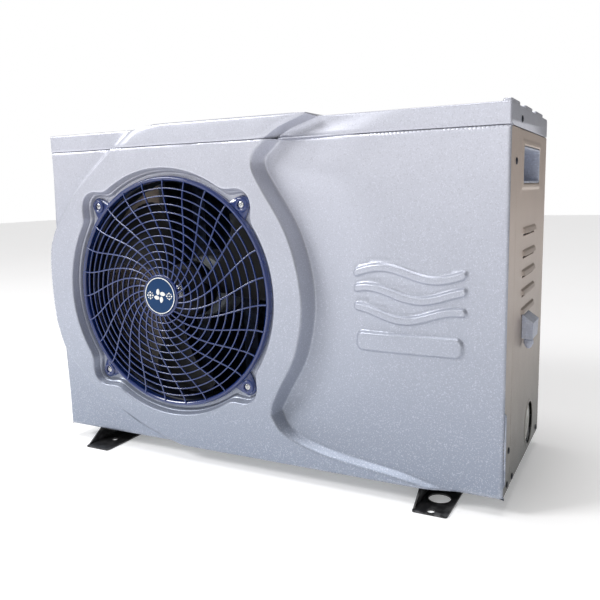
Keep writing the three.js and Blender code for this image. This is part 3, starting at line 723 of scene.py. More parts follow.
def front_panel():
    count = 320
    lip = eared_loop(3.0, count)
    border = []
    border += [(W * i / 147, 0.0) for i in range(147)]
    border += [(W, SEAM * i / 96) for i in range(96)]
    border += [(W - W * i / 147, SEAM) for i in range(147)]
    border += [(border_x(SEAM - SEAM * i / 96), SEAM - SEAM * i / 96) for i in range(96)]
    flat, faces = triangulate(border, [lip], front_points())
    verts = [(x, face_y(x, z), z) for x, z in flat]
    parts = Parts().add(verts, faces)

    # the edges turn back towards the cabinet
    n = len(border)
    edge = [(x, face_y(x, z), z) for x, z in border]
    middle = [(x, max(y, min(3.0, y + 2.0)), z) for x, y, z in edge]
    back = [(x, 3.2, z) for x, z in border]
    strip = edge + middle + back
    strip_faces = []
    for i in range(n):
        j = (i + 1) % n
        strip_faces.append((i, i + n, j + n, j))
        strip_faces.append((i + n, i + 2 * n, j + 2 * n, j + n))
    parts.add(strip, strip_faces)

    # the stepped wall of the recess, down to the ledge that holds the grille, and the airway's rim
    rows_at = [(3.0, None, 0.0)]
    rows_at += [(3.0 - 2.2 * math.sin(math.radians(a)), None, 2.2 * (1 - math.cos(math.radians(a))))
                for a in (18, 36, 54, 72)]
    rows_at += [(0.6, None, 2.2), (-1.6, -3.6, 0), (-1.9, -2.9, 0), (-2.6, -2.5, 0), (-3.1, -1.9, 0),
                (-4.3, 2.2, 0), (-4.8, 3.2, 0), (-5.6, 3.9, 0), (-6.6, 4.0, 0)]
    loops = []
    for offset, level, drop in rows_at:
        loop = eared_loop(offset, count)
        loops.append([(x, level if level is not None else -proud(z) + drop, z) for x, z in loop])
    for r, y in ((176.5, 4.0), (174.6, 4.1), (174.0, 4.7), (174.0, 6.6)):
        loops.append([(FAN[0] + r * math.cos(2 * math.pi * i / count), y,
                       FAN[1] + r * math.sin(2 * math.pi * i / count)) for i in range(count)])
    loops[0] = [(x, face_y(x, z), z) for x, _, z in loops[0]]
    verts = [p for loop in loops for p in loop]
    faces = [(a * count + i, a * count + (i + 1) % count, (a + 1) * count + (i + 1) % count,
              (a + 1) * count + i)
             for a in range(len(loops) - 1) for i in range(count)]
    parts.add(verts, faces)
    obj = parts.piece("front_moulding", "pearl_plastic", nodes="front_panel", sharp=60)
    facing_out(obj, (300, -500, 240))
    return thicken(obj, 2.4)


def facing_out(obj, towards):
    """Turns an open sheet's faces towards a point."""
    shape = bmesh.new()
    shape.from_mesh(obj.data)
    bmesh.ops.recalc_face_normals(shape, faces=shape.faces)
    target = row(*towards)
    votes = sum(f.calc_area() * f.normal.dot((target - f.calc_center_median()).normalized())
                for f in shape.faces)
    if votes < 0:
        bmesh.ops.reverse_faces(shape, faces=shape.faces)
    shape.to_mesh(obj.data)
    shape.free()
    return obj


front_panel()


# ---- lid -----------------------------------------------------------------------------------------

def lid():
    low = SEAM + 0.5
    crown = 494.5
    # (base y, base z, band y, band z) from the front's foot to the back's foot
    path = []

    def arc(cy, cz, r, start, stop, steps):
        return [(cy + r * math.cos(math.radians(start + (stop - start) * i / steps)),
                 cz + r * math.sin(math.radians(start + (stop - start) * i / steps)))
                for i in range(steps + 1)]

    base = [(1.2, low), (0.3, low + 0.5), (0, low + 1.4), (0, 470), (0, 477), (0, 484)]
    base += arc(2.6, TOP - 2.6, 2.6, 180, 90, 8)
    band = [(-14.8, low), (-15.7, low + 0.5), (-16, low + 1.4), (-16, 470), (-16, 478), (-15.9, 486)]
    band += arc(-15.8 + 3.6, crown - 3.6, 3.6, 180, 90, 8)
    for i in range(1, 24):
        t = i / 24
        base.append((2.6 + (D - 6.6) * t, TOP))
        band.append((-12.2 + (D + 8.2) * t, crown))
    base += arc(D - 4, TOP - 4, 4, 90, 0, 5) + [(D, 478), (D, 470), (D, low + 1), (D - 0.6, low)]
    band += arc(D - 4, crown - 4, 4, 90, 0, 5) + [(D, 480), (D, 470), (D, low + 1), (D - 0.6, low)]
    path = list(zip(base, band))

    def band_left(z, y):
        if y > -11.5 and z > 493:
            return 220.0
        if z < 488:
            return 146 + 32 * (z - SEAM) / 25
        return 178 + 42 * smoothstep(z, 488, 494.4)

    def band_right(z, y):
        if y > -11.5 and z > 493:
            return 481.0
        if z < 479:
            return 415.5 + 27.5 * (z - SEAM) / 16
        return 443 + 38 * smoothstep(z, 478, 494.4) ** 0.8

    steps = [0, 0.06, 0.14, 0.24, 0.36, 0.5, 0.64, 0.76, 0.86, 0.94, 1.0]
    verts, width = [], None
    for (by, bz), (py, pz) in path:
        front = by < 40
        xl, xr = band_left(pz, py), band_right(pz, py)
        if by > 200 and bz < 486:
            xl, xr = 220.0, 481.0
        run_l, run_r = (9.0, 9.5) if front else (7.0, 7.0)
        columns = []
        corner = [0.0, 0.1, 0.35, 0.8, 1.4, 2.2]
        for c in corner:
            columns.append((c, 0.0, 0.0))
        start = 8.0
        for i in range(1, 9):
            columns.append((start + (xl - run_l / 2 - start) * i / 9, 0.0, 0.0))
        for s in steps:
            columns.append((xl - run_l / 2 + run_l * s, ramp(s, 0.25), 0.0))
        for i in range(1, 14):
            columns.append((xl + run_l / 2 + (xr - run_r / 2 - xl - run_l / 2) * i / 14, 1.0, 0.0))
        for s in steps:
            columns.append((xr - run_r / 2 + run_r * s, 1 - ramp(s, 0.25), ramp(s, 0.25)))
        end = W - 8.0
        reach = xr + run_r / 2
        for i in range(1, 15):
            t = i / 15
            x = reach + (end - reach) * t
            columns.append((x, 0.0, 0.5 * (1 + math.cos(math.pi * min(1.0, (x - reach) / 150)))))
        columns.append((end, 0.0, 0.0))
        for c in reversed(corner):
            columns.append((W - c, 0.0, 0.0))
        width = len(columns)
        for x, share, dip in columns:
            y = by + (py - by) * share
            z = bz + (pz - bz) * share
            if by < 40 and bz <= TOP:
                y += 7.5 * dip * (1 - smoothstep(bz, 476, TOP) * 0.35) * (1 - by / 40)
            edge = min(x, W - x)
            if edge < 2.2:
                inset = 2.2 - math.sqrt(max(0.0, 4.84 - (2.2 - edge) ** 2))
                z -= inset * smoothstep(z, TOP - 12, TOP)
                y += inset * (1 - smoothstep(y, 0, 8)) - inset * smoothstep(y, D - 8, D)
            verts.append((x, y, z))
    count = len(path)
    faces = [(r * width + c, r * width + c + 1, (r + 1) * width + c + 1, (r + 1) * width + c)
             for r in range(count - 1) for c in range(width - 1)]
    faces.append(tuple(r * width for r in range(count)))
    faces.append(tuple(r * width + width - 1 for r in reversed(range(count))))
    obj = piece("lid_moulding", verts, faces, "pearl_plastic", nodes="top_lid", sharp=60)
    facing_out(obj, (370, 100, 900))
    thicken(obj, 2.4)
    lugs = Parts()
    for y0, y1 in ((11, 62), (106, 155), (192, 248)):
        outline = rounded_outline(W - 13, W - 1.2, y0, y1, 3.5, 6)
        rings = [(outline, TOP - 2.2), (outline, TOP + 2.6)]
        rings += [(rounded_outline(W - 13 + e, W - 1.2 - e, y0 + e, y1 - e, 3.5 - e * 0.7, 6), TOP + 2.6 + h)
                  for e, h in ((0.25, 0.8), (0.7, 1.4), (1.3, 1.75), (2.2, 1.9))]
        n = len(outline)
        v = [(x, y, z) for loop, z in rings for x, y in loop]
        f = [(a * n + i, a * n + (i + 1) % n, (a + 1) * n + (i + 1) % n, (a + 1) * n + i)
             for a in range(len(rings) - 1) for i in range(n)]
        f.append(tuple(range(n - 1, -1, -1)))
        f.append(tuple((len(rings) - 1) * n + i for i in range(n)))
        lugs.add(v, f)
    lugs.piece("lid_lugs", "pearl_plastic", sharp=50)


lid()


# ---- fan grille ----------------------------------------------------------------------------------

RIM_IN, RIM_OUT = 171.0, 178.2
HUB_R = 32.5
RING_RADII = [42.75 + 11.75 * k for k in range(11)]
SPOKES = 27


def grille_y(r):
    """The middle of the bars, on a shallow dome from the rim to the hub."""
    t = min(1.0, max(0.0, (r - 26) / (RIM_IN - 26)))
    return -24.2 + 19.4 * t ** 1.55


def guard():
    parts = Parts()
    centre = (FAN[0], 0, FAN[1])
    rim = fillet([(RIM_IN, 3.4), (RIM_IN, -4.2), (RIM_IN + 2.4, -6.0), (RIM_OUT - 2.4, -6.2), (RIM_OUT, -3.6),
                  (RIM_OUT, 3.4)], 2.6, 6)
    parts.add(*revolve(rim, "Y", centre, 192))
    bar = rounded_section(1.9, 3.2, 0.7, 2)
    for r in RING_RADII:
        loop = [(r + u, grille_y(r) + v) for u, v in bar]
        parts.add(*revolve(loop, "Y", centre, 128))
    spoke = rounded_section(2.3, 2.6, 0.8, 2)
    for k in range(SPOKES):
        start = math.radians(90.5 + k * 360 / SPOKES)
        path = []
        for i in range(26):
            r = RIM_IN + 2 - (RIM_IN + 2 - 27) * i / 25
            turn = start - math.radians(42) * max(0.0, (RIM_IN - r) / 141) ** 1.77
            path.append((FAN[0] + r * math.cos(turn), grille_y(r) - 0.4, FAN[1] + r * math.sin(turn)))
        parts.add(*sweep(path, spoke, Vector((0, -1, 0))))
    hub = fillet([(0, -20.6), (HUB_R - 2, -20.6), (HUB_R, -22.6), (HUB_R, -25.6), (HUB_R - 1.6, -27.4),
                  (HUB_R - 3.4, -27.2), (HUB_R - 4.0, -25.4), (0, -25.4)], 0.8, 3)
    parts.add(*revolve(hub, "Y", centre, 96))
    obj = parts.piece("grille_bars", "navy_plastic", nodes="fan_guard", sharp=50)

    ears = Parts()
    count = 220
    levels = [(0.0, 3.4), (0.0, -0.1), (-0.5, -0.9), (-1.4, -1.3), (-3.0, -1.4)]
    loops = []
    for offset, y in levels:
        loops.append([(x, y, z) for x, z in eared_loop(offset, count, RIM_OUT - 1.5, 13.5, 16.0)])
    inner = [(FAN[0] + (RIM_IN + 3) * math.cos(2 * math.pi * i / count),
              FAN[1] + (RIM_IN + 3) * math.sin(2 * math.pi * i / count)) for i in range(count)]
    loops.append([(x, -2.0, z) for x, z in inner])
    loops.append([(x, 3.4, z) for x, z in inner])
    verts = [p for loop in loops for p in loop]
    faces = [(a * count + i, a * count + (i + 1) % count, ((a + 1) % len(loops)) * count + (i + 1) % count,
              ((a + 1) % len(loops)) * count + i) for a in range(len(loops)) for i in range(count)]
    ears.add(verts, faces)
    for sx, sz in ((1, 1), (-1, 1), (-1, -1), (1, -1)):
        at = (FAN[0] + sx * EAR_REACH, 0, FAN[1] + sz * EAR_REACH)
        boss = fillet([(5.4, -1.8), (5.4, -3.4), (7.0, -4.4), (9.6, -4.0), (11.0, -1.8)], 0.8, 3)
        ears.add(*revolve(boss, "Y", at, 40))
    ears.piece("grille_ears", "navy_plastic", sharp=45)
    return obj


guard()


def flat_mark(points, low, high):
    """A thin raised shape with a small shoulder, on the hub disc."""
    n = len(points)
    cx, cz = sum(p[0] for p in points) / n, sum(p[1] for p in points) / n
    inner = [(cx + (x - cx) * 0.9, cz + (z - cz) * 0.9) for x, z in points]
    verts = [(x, low, z) for x, z in points] + [(x, high + 0.12, z) for x, z in points]
    verts += [(x, high, z) for x, z in inner]
    faces = [(a * n + i, a * n + (i + 1) % n, (a + 1) * n + (i + 1) % n, (a + 1) * n + i)
             for a in range(2) for i in range(n)]
    faces += [tuple(range(n)), tuple(range(3 * n - 1, 2 * n - 1, -1))]
    return verts, faces


def badge():
    centre = (FAN[0], 0, FAN[1])
    disc = fillet([(0, -25.2), (28.4, -25.2), (28.4, -27.2), (27.4, -27.6), (0, -27.8)], 0.5, 3)
    Parts().add(*revolve(disc, "Y", centre, 96)).piece("hub_disc", "badge_plastic", nodes="hub_badge")
    mark = Parts()
    mark.add(*revolve([(26.4, -27.3), (26.4, -28.1), (27.7, -28.1), (27.7, -27.2)], "Y", centre, 96))
    for k in range(4):
        petal = []
        for i in range(18):
            t = 2 * math.pi * i / 18
            u, v = 6.3 + 4.5 * math.cos(t), 3.3 * math.sin(t) + 3.0 * math.sin(t / 2) - 1.2
            a = k * math.pi / 2 + 0.35
            petal.append((FAN[0] + u * math.cos(a) - v * math.sin(a),
                          FAN[1] + u * math.sin(a) + v * math.cos(a)))
        mark.add(*flat_mark(petal, -27.5, -28.1))
    for side in (-1, 1):
        for k in range(8):
            a = k * math.pi / 4
            reach = 4.4 if side > 0 else 4.8
            at = (FAN[0] + side * 17.8 + reach * math.cos(a), FAN[1] + reach * math.sin(a))
            size = 0.9 if k % 2 else 1.4
            mark.add(*flat_mark(circle(at[0], at[1], size, 10), -27.5, -28.1))
        mark.add(*flat_mark(circle(FAN[0] + side * 17.8, FAN[1], 1.9 if side < 0 else 1.1, 14), -27.5, -28.1))
    mark.piece("hub_fan_mark", "white_plastic")


badge()


# ---- screws --------------------------------------------------------------------------------------

def screw(name, node, at, axis, outwards, coat=None):
    """A domed head with a cross recess, on a short threaded shank."""
    along, first, second = axes(axis)
    at = Vector(at)
    rings = [0.0, 0.45, 0.9, 1.3, 1.8, 2.2, 2.6, 3.1, 3.6, 4.0, 4.2, 4.2]
    sides = 48
    verts, faces, index = [], [], []
    for k, r in enumerate(rings):
        ring = []
        for i in range(sides if r else 1):
            turn = 2 * math.pi * i / sides
            top = 0.3 + 1.5 * math.sqrt(max(0.0, 1 - (r / 4.75) ** 2)) if k < len(rings) - 1 else 0.3
            quarter = abs((math.degrees(turn) + 45) % 90 - 45)
            if r <= 2.2 and (quarter <= 15.5 or r < 0.5):
                top -= 0.95 - 0.2 * r
            p = at + along * (outwards * top) + first * (r * math.cos(turn)) + second * (r * math.sin(turn))
            ring.append(len(verts))
            verts.append(tuple(p))
        index.append(ring)
    for a, b in zip(index, index[1:]):
        for i in range(sides):
            j = (i + 1) % sides
            if len(a) == 1:
                faces.append((a[0], b[i], b[j]))
            else:
                faces.append((a[i], b[i], b[j], a[j]))
    shank = [(1.9, 0.3)]
    shank += [(1.9 if i % 2 else 1.55, -0.35 * i) for i in range(1, 19)]
    shank += [(1.2, -6.9), (0.0, -7.0)]
    last = index[-1]
    for r, a in shank:
        ring = []
        for i in range(sides if r else 1):
            turn = 2 * math.pi * i / sides
            ring.append(len(verts))
            verts.append(tuple(at + along * (outwards * a) + first * (r * math.cos(turn)) + second
                               * (r * math.sin(turn))))
        for i in range(sides):
            j = (i + 1) % sides
            if len(ring) == 1:
                faces.append((last[i], ring[0], last[j]))
            else:
                faces.append((last[i], ring[i], ring[j], last[j]))
        last = ring
    piece(name, verts, faces, "screw_steel", nodes=node, sharp=35, coat=coat)


def all_screws():
    for i, (sx, sz) in enumerate(((1, 1), (-1, 1), (-1, -1), (1, -1))):
        at = (FAN[0] + sx * EAR_REACH, -1.6, FAN[1] + sz * EAR_REACH)
        screw(f"grille_screw_{i + 1}", f"guard_screw_{i + 1}", at, "Y", -1)
    for i, (y, z) in enumerate(((36, 422), (32, 55), (26, 11), (61, 9), (261, 12))):
        screw(f"panel_screw_right_{i + 1}", f"side_screw_right_{i + 1}", (W, y, z), "X", 1, "dark_coat_and_shade")
        screw(f"panel_screw_left_{i + 1}", f"side_screw_left_{i + 1}", (0, y, z), "X", -1, "dark_coat_and_shade")
    screw("cover_screw_right", "lid_screw_right", (W, 68, 474), "X", 1, "dark_coat_and_shade")
    screw("cover_screw_left", "lid_screw_left", (0, 68, 474), "X", -1, "dark_coat_and_shade")


all_screws()


# ---- side panels ---------------------------------------------------------------------------------

HANDLE = (84.0, 217.0, 395.0, 443.0)
PORT = (189.0, 43.0, 32.0)
LOUVRES = [338.0, 308.0, 282.0, 256.0, 230.0]


def panel_out(y, z, right):
    """How far the sheet stands out at a place on the side."""
    out = 0.0
    y0, y1, z0, z1 = HANDLE
    gap = max(y0 - y, y - y1, z0 - z, z - z1)
    if gap < 12:
        out += 1.3 * (1 - ramp((gap - 5.0) / 3.0, 0.3))
    if right:
        for top in LOUVRES:
            drop = top - z
            if -2 < drop < 10 and 90 < y < 200:
                ends = ramp((y - 95) / 6.0, 0.3) * ramp((195 - y) / 6.0, 0.3)
                hood = (2.6 * ramp(drop / 1.8, 0.2) + 1.4 * ramp((drop - 1.8) / 5.2, 0.2))
                hood *= 1 - ramp((drop - 7.6) / 0.5, 0.1)
                out += hood * ends
        ring = math.hypot(y - PORT[0], z - PORT[1]) - PORT[2]
        out += 0.9 * (1 - ramp((ring - 2.5) / 2.5, 0.3)) if ring < 8 else 0.0
    for gap, r in ((y - 42.4, 1.2), (D - y, 2.4), (z - 2, 1.0), (SEAM - 0.4 - z, 1.0)):
        if gap < r:
            out -= r - math.sqrt(max(0.0, r * r - (r - gap) ** 2))
    return out


def side_panel(right):
    x_at = (lambda out: W + out) if right else (lambda out: -out)
    y0, y1, z0, z1 = HANDLE
    low, high, front, back = 2.0, SEAM - 0.4, 42.4, D
    border = [(front + (back - front) * i / 60, low) for i in range(60)]
    border += [(back, low + (high - low) * i / 90) for i in range(90)]
    border += [(back - (back - front) * i / 60, high) for i in range(60)]
    border += [(front, high - (high - low) * i / 90) for i in range(90)]
    holes = [rounded_outline(y0, y1, z0, z1, 5, 8)]
    if right:
        holes.append(circle(PORT[0], PORT[1], PORT[2], 72))
        holes += [rounded_outline(100, 190, top - 11.0, top - 8.6, 1.0, 4) for top in LOUVRES]
    extra = []
    for e in (0.3, 0.8, 1.4, 2.4, 4.0):
        extra += [(front + e + (back - front - 2 * e) * i / 60, h) for i in range(61)
                  for h in (low + e, high - e)]
        extra += [(h, low + e + (high - low - 2 * e) * i / 90) for i in range(91)
                  for h in (front + e, back - e)]
    for e in (2.5, 4.2, 5.2, 6.2, 7.2, 8.2, 9.5, 13):
        outline = rounded_outline(y0 - e, y1 + e, z0 - e, z1 + e, 5 + e, 8)
        for (ay, az), (by, bz) in zip(outline, outline[1:] + outline[:1]):
            n = max(1, int(math.hypot(by - ay, bz - az) / 7))
            extra += [(ay + (by - ay) * i / n, az + (bz - az) * i / n) for i in range(n)]
    if right:
        for e in (1.5, 2.3, 3.2, 4.2, 5.2, 6.2, 9):
            extra += circle(PORT[0], PORT[1], PORT[2] + e, 72)
        for top in LOUVRES:
            for drop in (-2.5, -1.0, -0.3, 0.2, 0.7, 1.2, 1.7, 2.3, 3.4, 5.0, 6.4, 7.2, 7.55, 7.8, 8.05, 12.0,
                         14.0):
                extra += [(y, top - drop) for y in
                          [90, 93, 94.4, 95.6, 97, 98.6, 100, 101.4, 103, *range(108, 186, 6), 187, 188.6,
                           190, 191.4,
                           193, 194.4, 195.6, 197, 200]]
    for i in range(1, 27):
        for j in range(1, 50):
            y, z = front + i * 9.3, low + j * 9.3
            if y > back - 6 or z > high - 6:
                continue
            if max(y0 - y, y - y1, z0 - z, z - z1) < 16:
                continue
            if right and (math.hypot(y - PORT[0], z - PORT[1]) < 44 or (86 < y < 204 and 214 < z < 344)):
                continue
            extra.append((y, z))
    kept = []
    for y, z in extra:
        gap = max(y0 - y, y - y1, z0 - z, z - z1)
        if gap < 1.5 or (right and math.hypot(y - PORT[0], z - PORT[1]) < PORT[2] + 0.8):
            continue
        if right and any(99.6 < y < 190.4 and 8.2 < top - z < 11.4 for top in LOUVRES):
            continue
        if front + 0.2 < y < back - 0.2 and low + 0.2 < z < high - 0.2:
            kept.append((y, z))
    flat, faces = triangulate(border, holes, kept)
    verts = [(x_at(panel_out(y, z, right)), y, z) for y, z in flat]
    parts = Parts().add(verts, faces)
    rear = [(back, low + (high - low) * i / 90) for i in range(91)]
    strip = [(x_at(panel_out(y, z, right)), y, z) for y, z in rear]
    strip += [(x_at(-4.0), back, z) for _, z in rear] + [(x_at(-20.0), back, z) for _, z in rear]
    n = len(rear)
    parts.add(strip, [(a * n + i, a * n + i + 1, (a + 1) * n + i + 1, (a + 1) * n + i)
                      for a in range(2) for i in range(n - 1)])
    name = "right" if right else "left"
    obj = parts.piece(f"side_sheet_{name}", "satin_steel", nodes=f"{name}_side_panel", sharp=40)
    facing_out(obj, (W + 900 if right else -900, 200, 240))
    thicken(obj, 1.2)


side_panel(True)
side_panel(False)


REAR = (466.0, 716.6, 25.4, 462.6)
REAR_PORT = (672.0, 290.0, 32.0)
REAR_LOUVRES = [206.0 - 22.0 * i for i in range(6)]


def rear_out(x, z):
    """How far the rear sheet stands out: a pressed border, a collar round the port and louvres."""
    x0, x1, z0, z1 = REAR
    gap = min(x - x0, x1 - x, z - z0, z1 - z)
    out = 1.2 * (1 - ramp((abs(gap - 16) - 1.5) / 3.0, 0.3)) if abs(gap - 16) < 5 else 0.0
    ring = math.hypot(x - REAR_PORT[0], z - REAR_PORT[1]) - REAR_PORT[2]
    if ring < 8:
        out = 0.9 * (1 - ramp((ring - 2.5) / 2.5, 0.3)) + out * ramp((ring - 3) / 5, 0.3)
    for top in REAR_LOUVRES:
        drop = top - z
        if -2 < drop < 10 and 502 < x < 666:
            ends = ramp((x - 505) / 6.0, 0.3) * ramp((663 - x) / 6.0, 0.3)
            hood = (2.4 * ramp(drop / 1.8, 0.2) + 1.2 * ramp((drop - 1.8) / 5.2, 0.2))
            out += hood * ends * (1 - ramp((drop - 7.6) / 0.5, 0.1))
    if gap < 1.0:
        out -= 1.0 - math.sqrt(max(0.0, 1.0 - (1.0 - gap) ** 2))
    return out


def rear_sheet():
    x0, x1, z0, z1 = REAR
    border = [(x0 + (x1 - x0) * i / 60, z0) for i in range(60)]
    border += [(x1, z0 + (z1 - z0) * i / 90) for i in range(90)]
    border += [(x1 - (x1 - x0) * i / 60, z1) for i in range(60)]
    border += [(x0, z1 - (z1 - z0) * i / 90) for i in range(90)]
    holes = [circle(REAR_PORT[0], REAR_PORT[1], REAR_PORT[2], 72)]
    holes += [rounded_outline(510, 658, top - 11.0, top - 8.6, 1.0, 4) for top in REAR_LOUVRES]
    extra = []
    for e in (0.3, 0.7, 1.1, 6, 11, 12, 13, 14, 15, 16, 17, 18, 19, 20, 21.5):
        extra += [(x0 + e + (x1 - x0 - 2 * e) * i / 48, h) for i in range(49) for h in (z0 + e, z1 - e)]
        extra += [(h, z0 + e + (z1 - z0 - 2 * e) * i / 84) for i in range(85) for h in (x0 + e, x1 - e)]
    for e in (1.5, 2.3, 3.2, 4.2, 5.2, 6.2, 9):
        extra += circle(REAR_PORT[0], REAR_PORT[1], REAR_PORT[2] + e, 72)
    columns = [500, 503, 505.6, 507, 508.6, 510, 511.4, 513, *range(518, 654, 7), 655, 656.6, 658, 659.4, 661,
               662.4,
               665, 668]
    for top in REAR_LOUVRES:
        for drop in (-2.5, -1.0, -0.3, 0.2, 0.7, 1.2, 1.7, 2.3, 3.4, 5.0, 6.4, 7.2, 7.55, 7.8, 8.05, 12.0,
                     14.0):
            extra += [(x, top - drop) for x in columns]
    for i in range(1, 26):
        for j in range(1, 46):
            x, z = x0 + i * 9.6, z0 + j * 9.6
            if math.hypot(x - REAR_PORT[0], z - REAR_PORT[1]) < 46 or (494 < x < 674 and 76 < z < 212):
                continue
            if min(x - x0, x1 - x, z - z0, z1 - z) > 24:
                extra.append((x, z))
    kept = []
    for x, z in extra:
        if math.hypot(x - REAR_PORT[0], z - REAR_PORT[1]) < REAR_PORT[2] + 0.8:
            continue
        if any(509.6 < x < 658.4 and 8.2 < top - z < 11.4 for top in REAR_LOUVRES):
            continue
        if x0 + 0.2 < x < x1 - 0.2 and z0 + 0.2 < z < z1 - 0.2:
            kept.append((x, z))
    flat, faces = triangulate(border, holes, kept)
    parts = Parts().add([(x, D + rear_out(x, z), z) for x, z in flat], faces)
    rows = [z0 + (z1 - z0) * i / 90 for i in range(91)]
    strip = [(x0, D + rear_out(x0, z), z) for z in rows] + [(x0, D - 3, z) for z in rows] + [(x0, D - 12, z)
                                                                                             for z in rows]
    parts.add(strip, [(a * 91 + i, a * 91 + i + 1, (a + 1) * 91 + i + 1, (a + 1) * 91 + i)
                      for a in range(2) for i in range(90)])
    obj = parts.piece("rear_sheet", "satin_steel", nodes="rear_panel", sharp=40)
    facing_out(obj, (590, D + 900, 240))
    thicken(obj, 1.2)


rear_sheet()


def handle_pocket(right):
    """A moulded pocket for the fingers, with a rolled mouth and a flat floor."""
    x_at = (lambda depth: W - depth) if right else (lambda depth: depth)
    y0, y1, z0, z1 = HANDLE
    rings = [(-5, 3.4, 8), (-5, 1.6, 8), (0.6, 1.6, 5), (0.6, 0.3, 5), (0.9, -0.4, 5), (1.6, -0.9, 5),
             (2.5, -0.9, 4.6),
             (3.2, -0.2, 4.4), (3.6, 1.0, 4.2), (3.9, 8, 4.2), (4.6, 30, 4.2), (5.4, 36, 4.5), (7.4, 38.6, 5),
             (11, 39.6, 6), (18, 40.0, 5.6)]
    steps = 8
    loops = []
    for inset, depth, r in rings:
        outline = rounded_outline(y0 + inset, y1 - inset, z0 + inset, z1 - inset, r, steps)
        loops.append([(x_at(depth), y, z) for y, z in outline])
    n = len(loops[0])
    verts = [p for loop in loops for p in loop]
    faces = [(a * n + i, a * n + (i + 1) % n, (a + 1) * n + (i + 1) % n, (a + 1) * n + i)
             for a in range(len(loops) - 1) for i in range(n)]
    faces.append(tuple((len(loops) - 1) * n + i for i in range(n)))
    name = "right" if right else "left"
    obj = piece(f"handle_pocket_{name}", verts, faces, "grey_plastic", nodes=f"handle_cup_{name}", sharp=50)
    facing_out(obj, (W + 600 if right else -600, 150, 419))
    thicken(obj, 1.6)


handle_pocket(True)
handle_pocket(False)


# ---- cable cover, gland, water fittings ----------------------------------------------------------

def cable_cover():
    y0, y1, z0, z1, out = 106.0, 150.0, 188.0, 221.0, 15.6
    outline = [(0.3, z0), (out - 1, z0 - 1), (out, z1 - 11), (0.3, z1)]
    parts = Parts()
    n = len(outline)
    verts = [(W + x, y0, z) for x, z in outline] + [(W + x, y1, z) for x, z in outline]
    faces = [(i, (i + 1) % n, (i + 1) % n + n, i + n) for i in range(n)]
    faces += [tuple(range(n - 1, -1, -1)), tuple(range(n, 2 * n))]
    parts.add(verts, faces)
    for dy in (7, 37):
        parts.add(*revolve([(0, out - 1), (3.2, out - 1), (3.2, out + 0.2 - 0.6), (2.4, out - 0.1),
                            (0, out - 0.1)], "X",
                           (W, y0 + dy, z0 + 12), 32))
    obj = parts.piece("cable_box", "grey_plastic", nodes="cable_cover", sharp=35)
    bevel(obj, 1.6, 4)
    at = (W + 8, y0 + 11, 0)
    gland = fillet([(0, z0 - 15), (2.6, z0 - 15), (2.6, z0 - 14), (3.9, z0 - 13.6), (5.6, z0 - 9.6),
                    (6.4, z0 - 8.6),
                    (6.4, z0 - 3.2), (4.9, z0 - 2.8), (4.9, z0 - 1.2), (0, z0 - 1.2)], 0.5, 3)
    grip = lambda turn, r: 1.0 + (0.035 * math.cos(12 * turn) if r > 5.9 else 0.0)
    Parts().add(*revolve(gland, "Z", at, 72, grip)).piece("gland_nut", "grey_plastic", nodes="cable_gland")


def union_nut(name, node, axis, centre, low, high, body):
    """A ribbed union nut, rounded at both mouths."""
    profile = fillet([(24.4, low), (28.2, low), (29.3, low + 1.4), (29.3, high - 1.4), (28.2, high),
                      (24.4, high)], 0.7, 3)
    ribs = lambda turn, r: 1.0 - (0.022 * (0.5 + 0.5 * math.cos(24 * turn)) ** 3 if r > 28.6 else 0.0)
    ring = profile + [profile[0]]
    Parts().add(*revolve(ring[:-1], axis, centre, 240, ribs)).piece(name, "white_plastic", nodes=node,
                                                                    body=body, sharp=50)


def fittings():
    at_out, at_in = (0, 189, 43), (672, 0, 290)
    profile = fillet([(19.6, 718.8), (19, 719.6), (19, 731.4), (19.8, 732.8), (23.2, 732.8), (24, 731.8),
                      (24, 723),
                      (23.2, 722.4), (23.2, 718.8)], 0.4, 2)
    Parts().add(*revolve(profile, "X", at_out, 96)).piece("outlet_socket", "white_plastic",
                                                          nodes="water_outlet")
    profile = fillet([(19.6, 235.8), (19, 236.6), (19, 280.4), (19.8, 281.8), (23.2, 281.8), (24, 280.8),
                      (24, 271),
                      (23.2, 270.4), (23.2, 235.8)], 0.4, 2)
    Parts().add(*revolve(profile, "Y", at_in, 96)).piece("inlet_socket", "white_plastic", nodes="water_inlet")
    union_nut("outlet_union_nut", "outlet_nut", "X", at_out, W - 15, W - 3, "outlet_union")
    union_nut("inlet_union_nut", "inlet_nut", "Y", at_in, D - 16, D - 3, "inlet_union")


cable_cover()
fittings()


# ---- feet ----------------------------------------------------------------------------------------

def foot(side, name):
    x0 = W / 2 + side * 283 - 23.25
    x1 = x0 + 46.5
    reach, tall, gauge = 32.0, 23.0, 2.5
    middle = (x0 + x1) / 2
    holes = [circle(middle, 18, 15, 56),
             circle(middle, -25 + 1.5, 5.3, 32)] if side > 0 else [circle(middle, 11, 5.3, 32)]
    outline = rounded_outline(x0, x1, -reach, D + reach, 3.0, 5)
    parts = Parts().add(*plate(outline, holes, lambda x, y, z: (x, y, z), -tall, -tall + gauge))
    web = [(-reach + 3, -tall + 0.6), (D + reach - 3, -tall + 0.6), (D - 4, -0.4), (4, -0.4)]
    parts.add(*plate(web, [], lambda y, z, x: (x, y, z), x0, x0 + gauge))
    parts.add(*box(x0, x0 + 30, 6, D - 6, -0.4 - gauge, -0.4))
    obj = parts.piece(f"foot_channel_{name}", "black_steel", nodes=f"foot_{name}", sharp=35)
    bevel(obj, 0.5, 2)


foot(-1, "left")
foot(1, "right")


# ---- fan, shroud and coil ------------------------------------------------------------------------

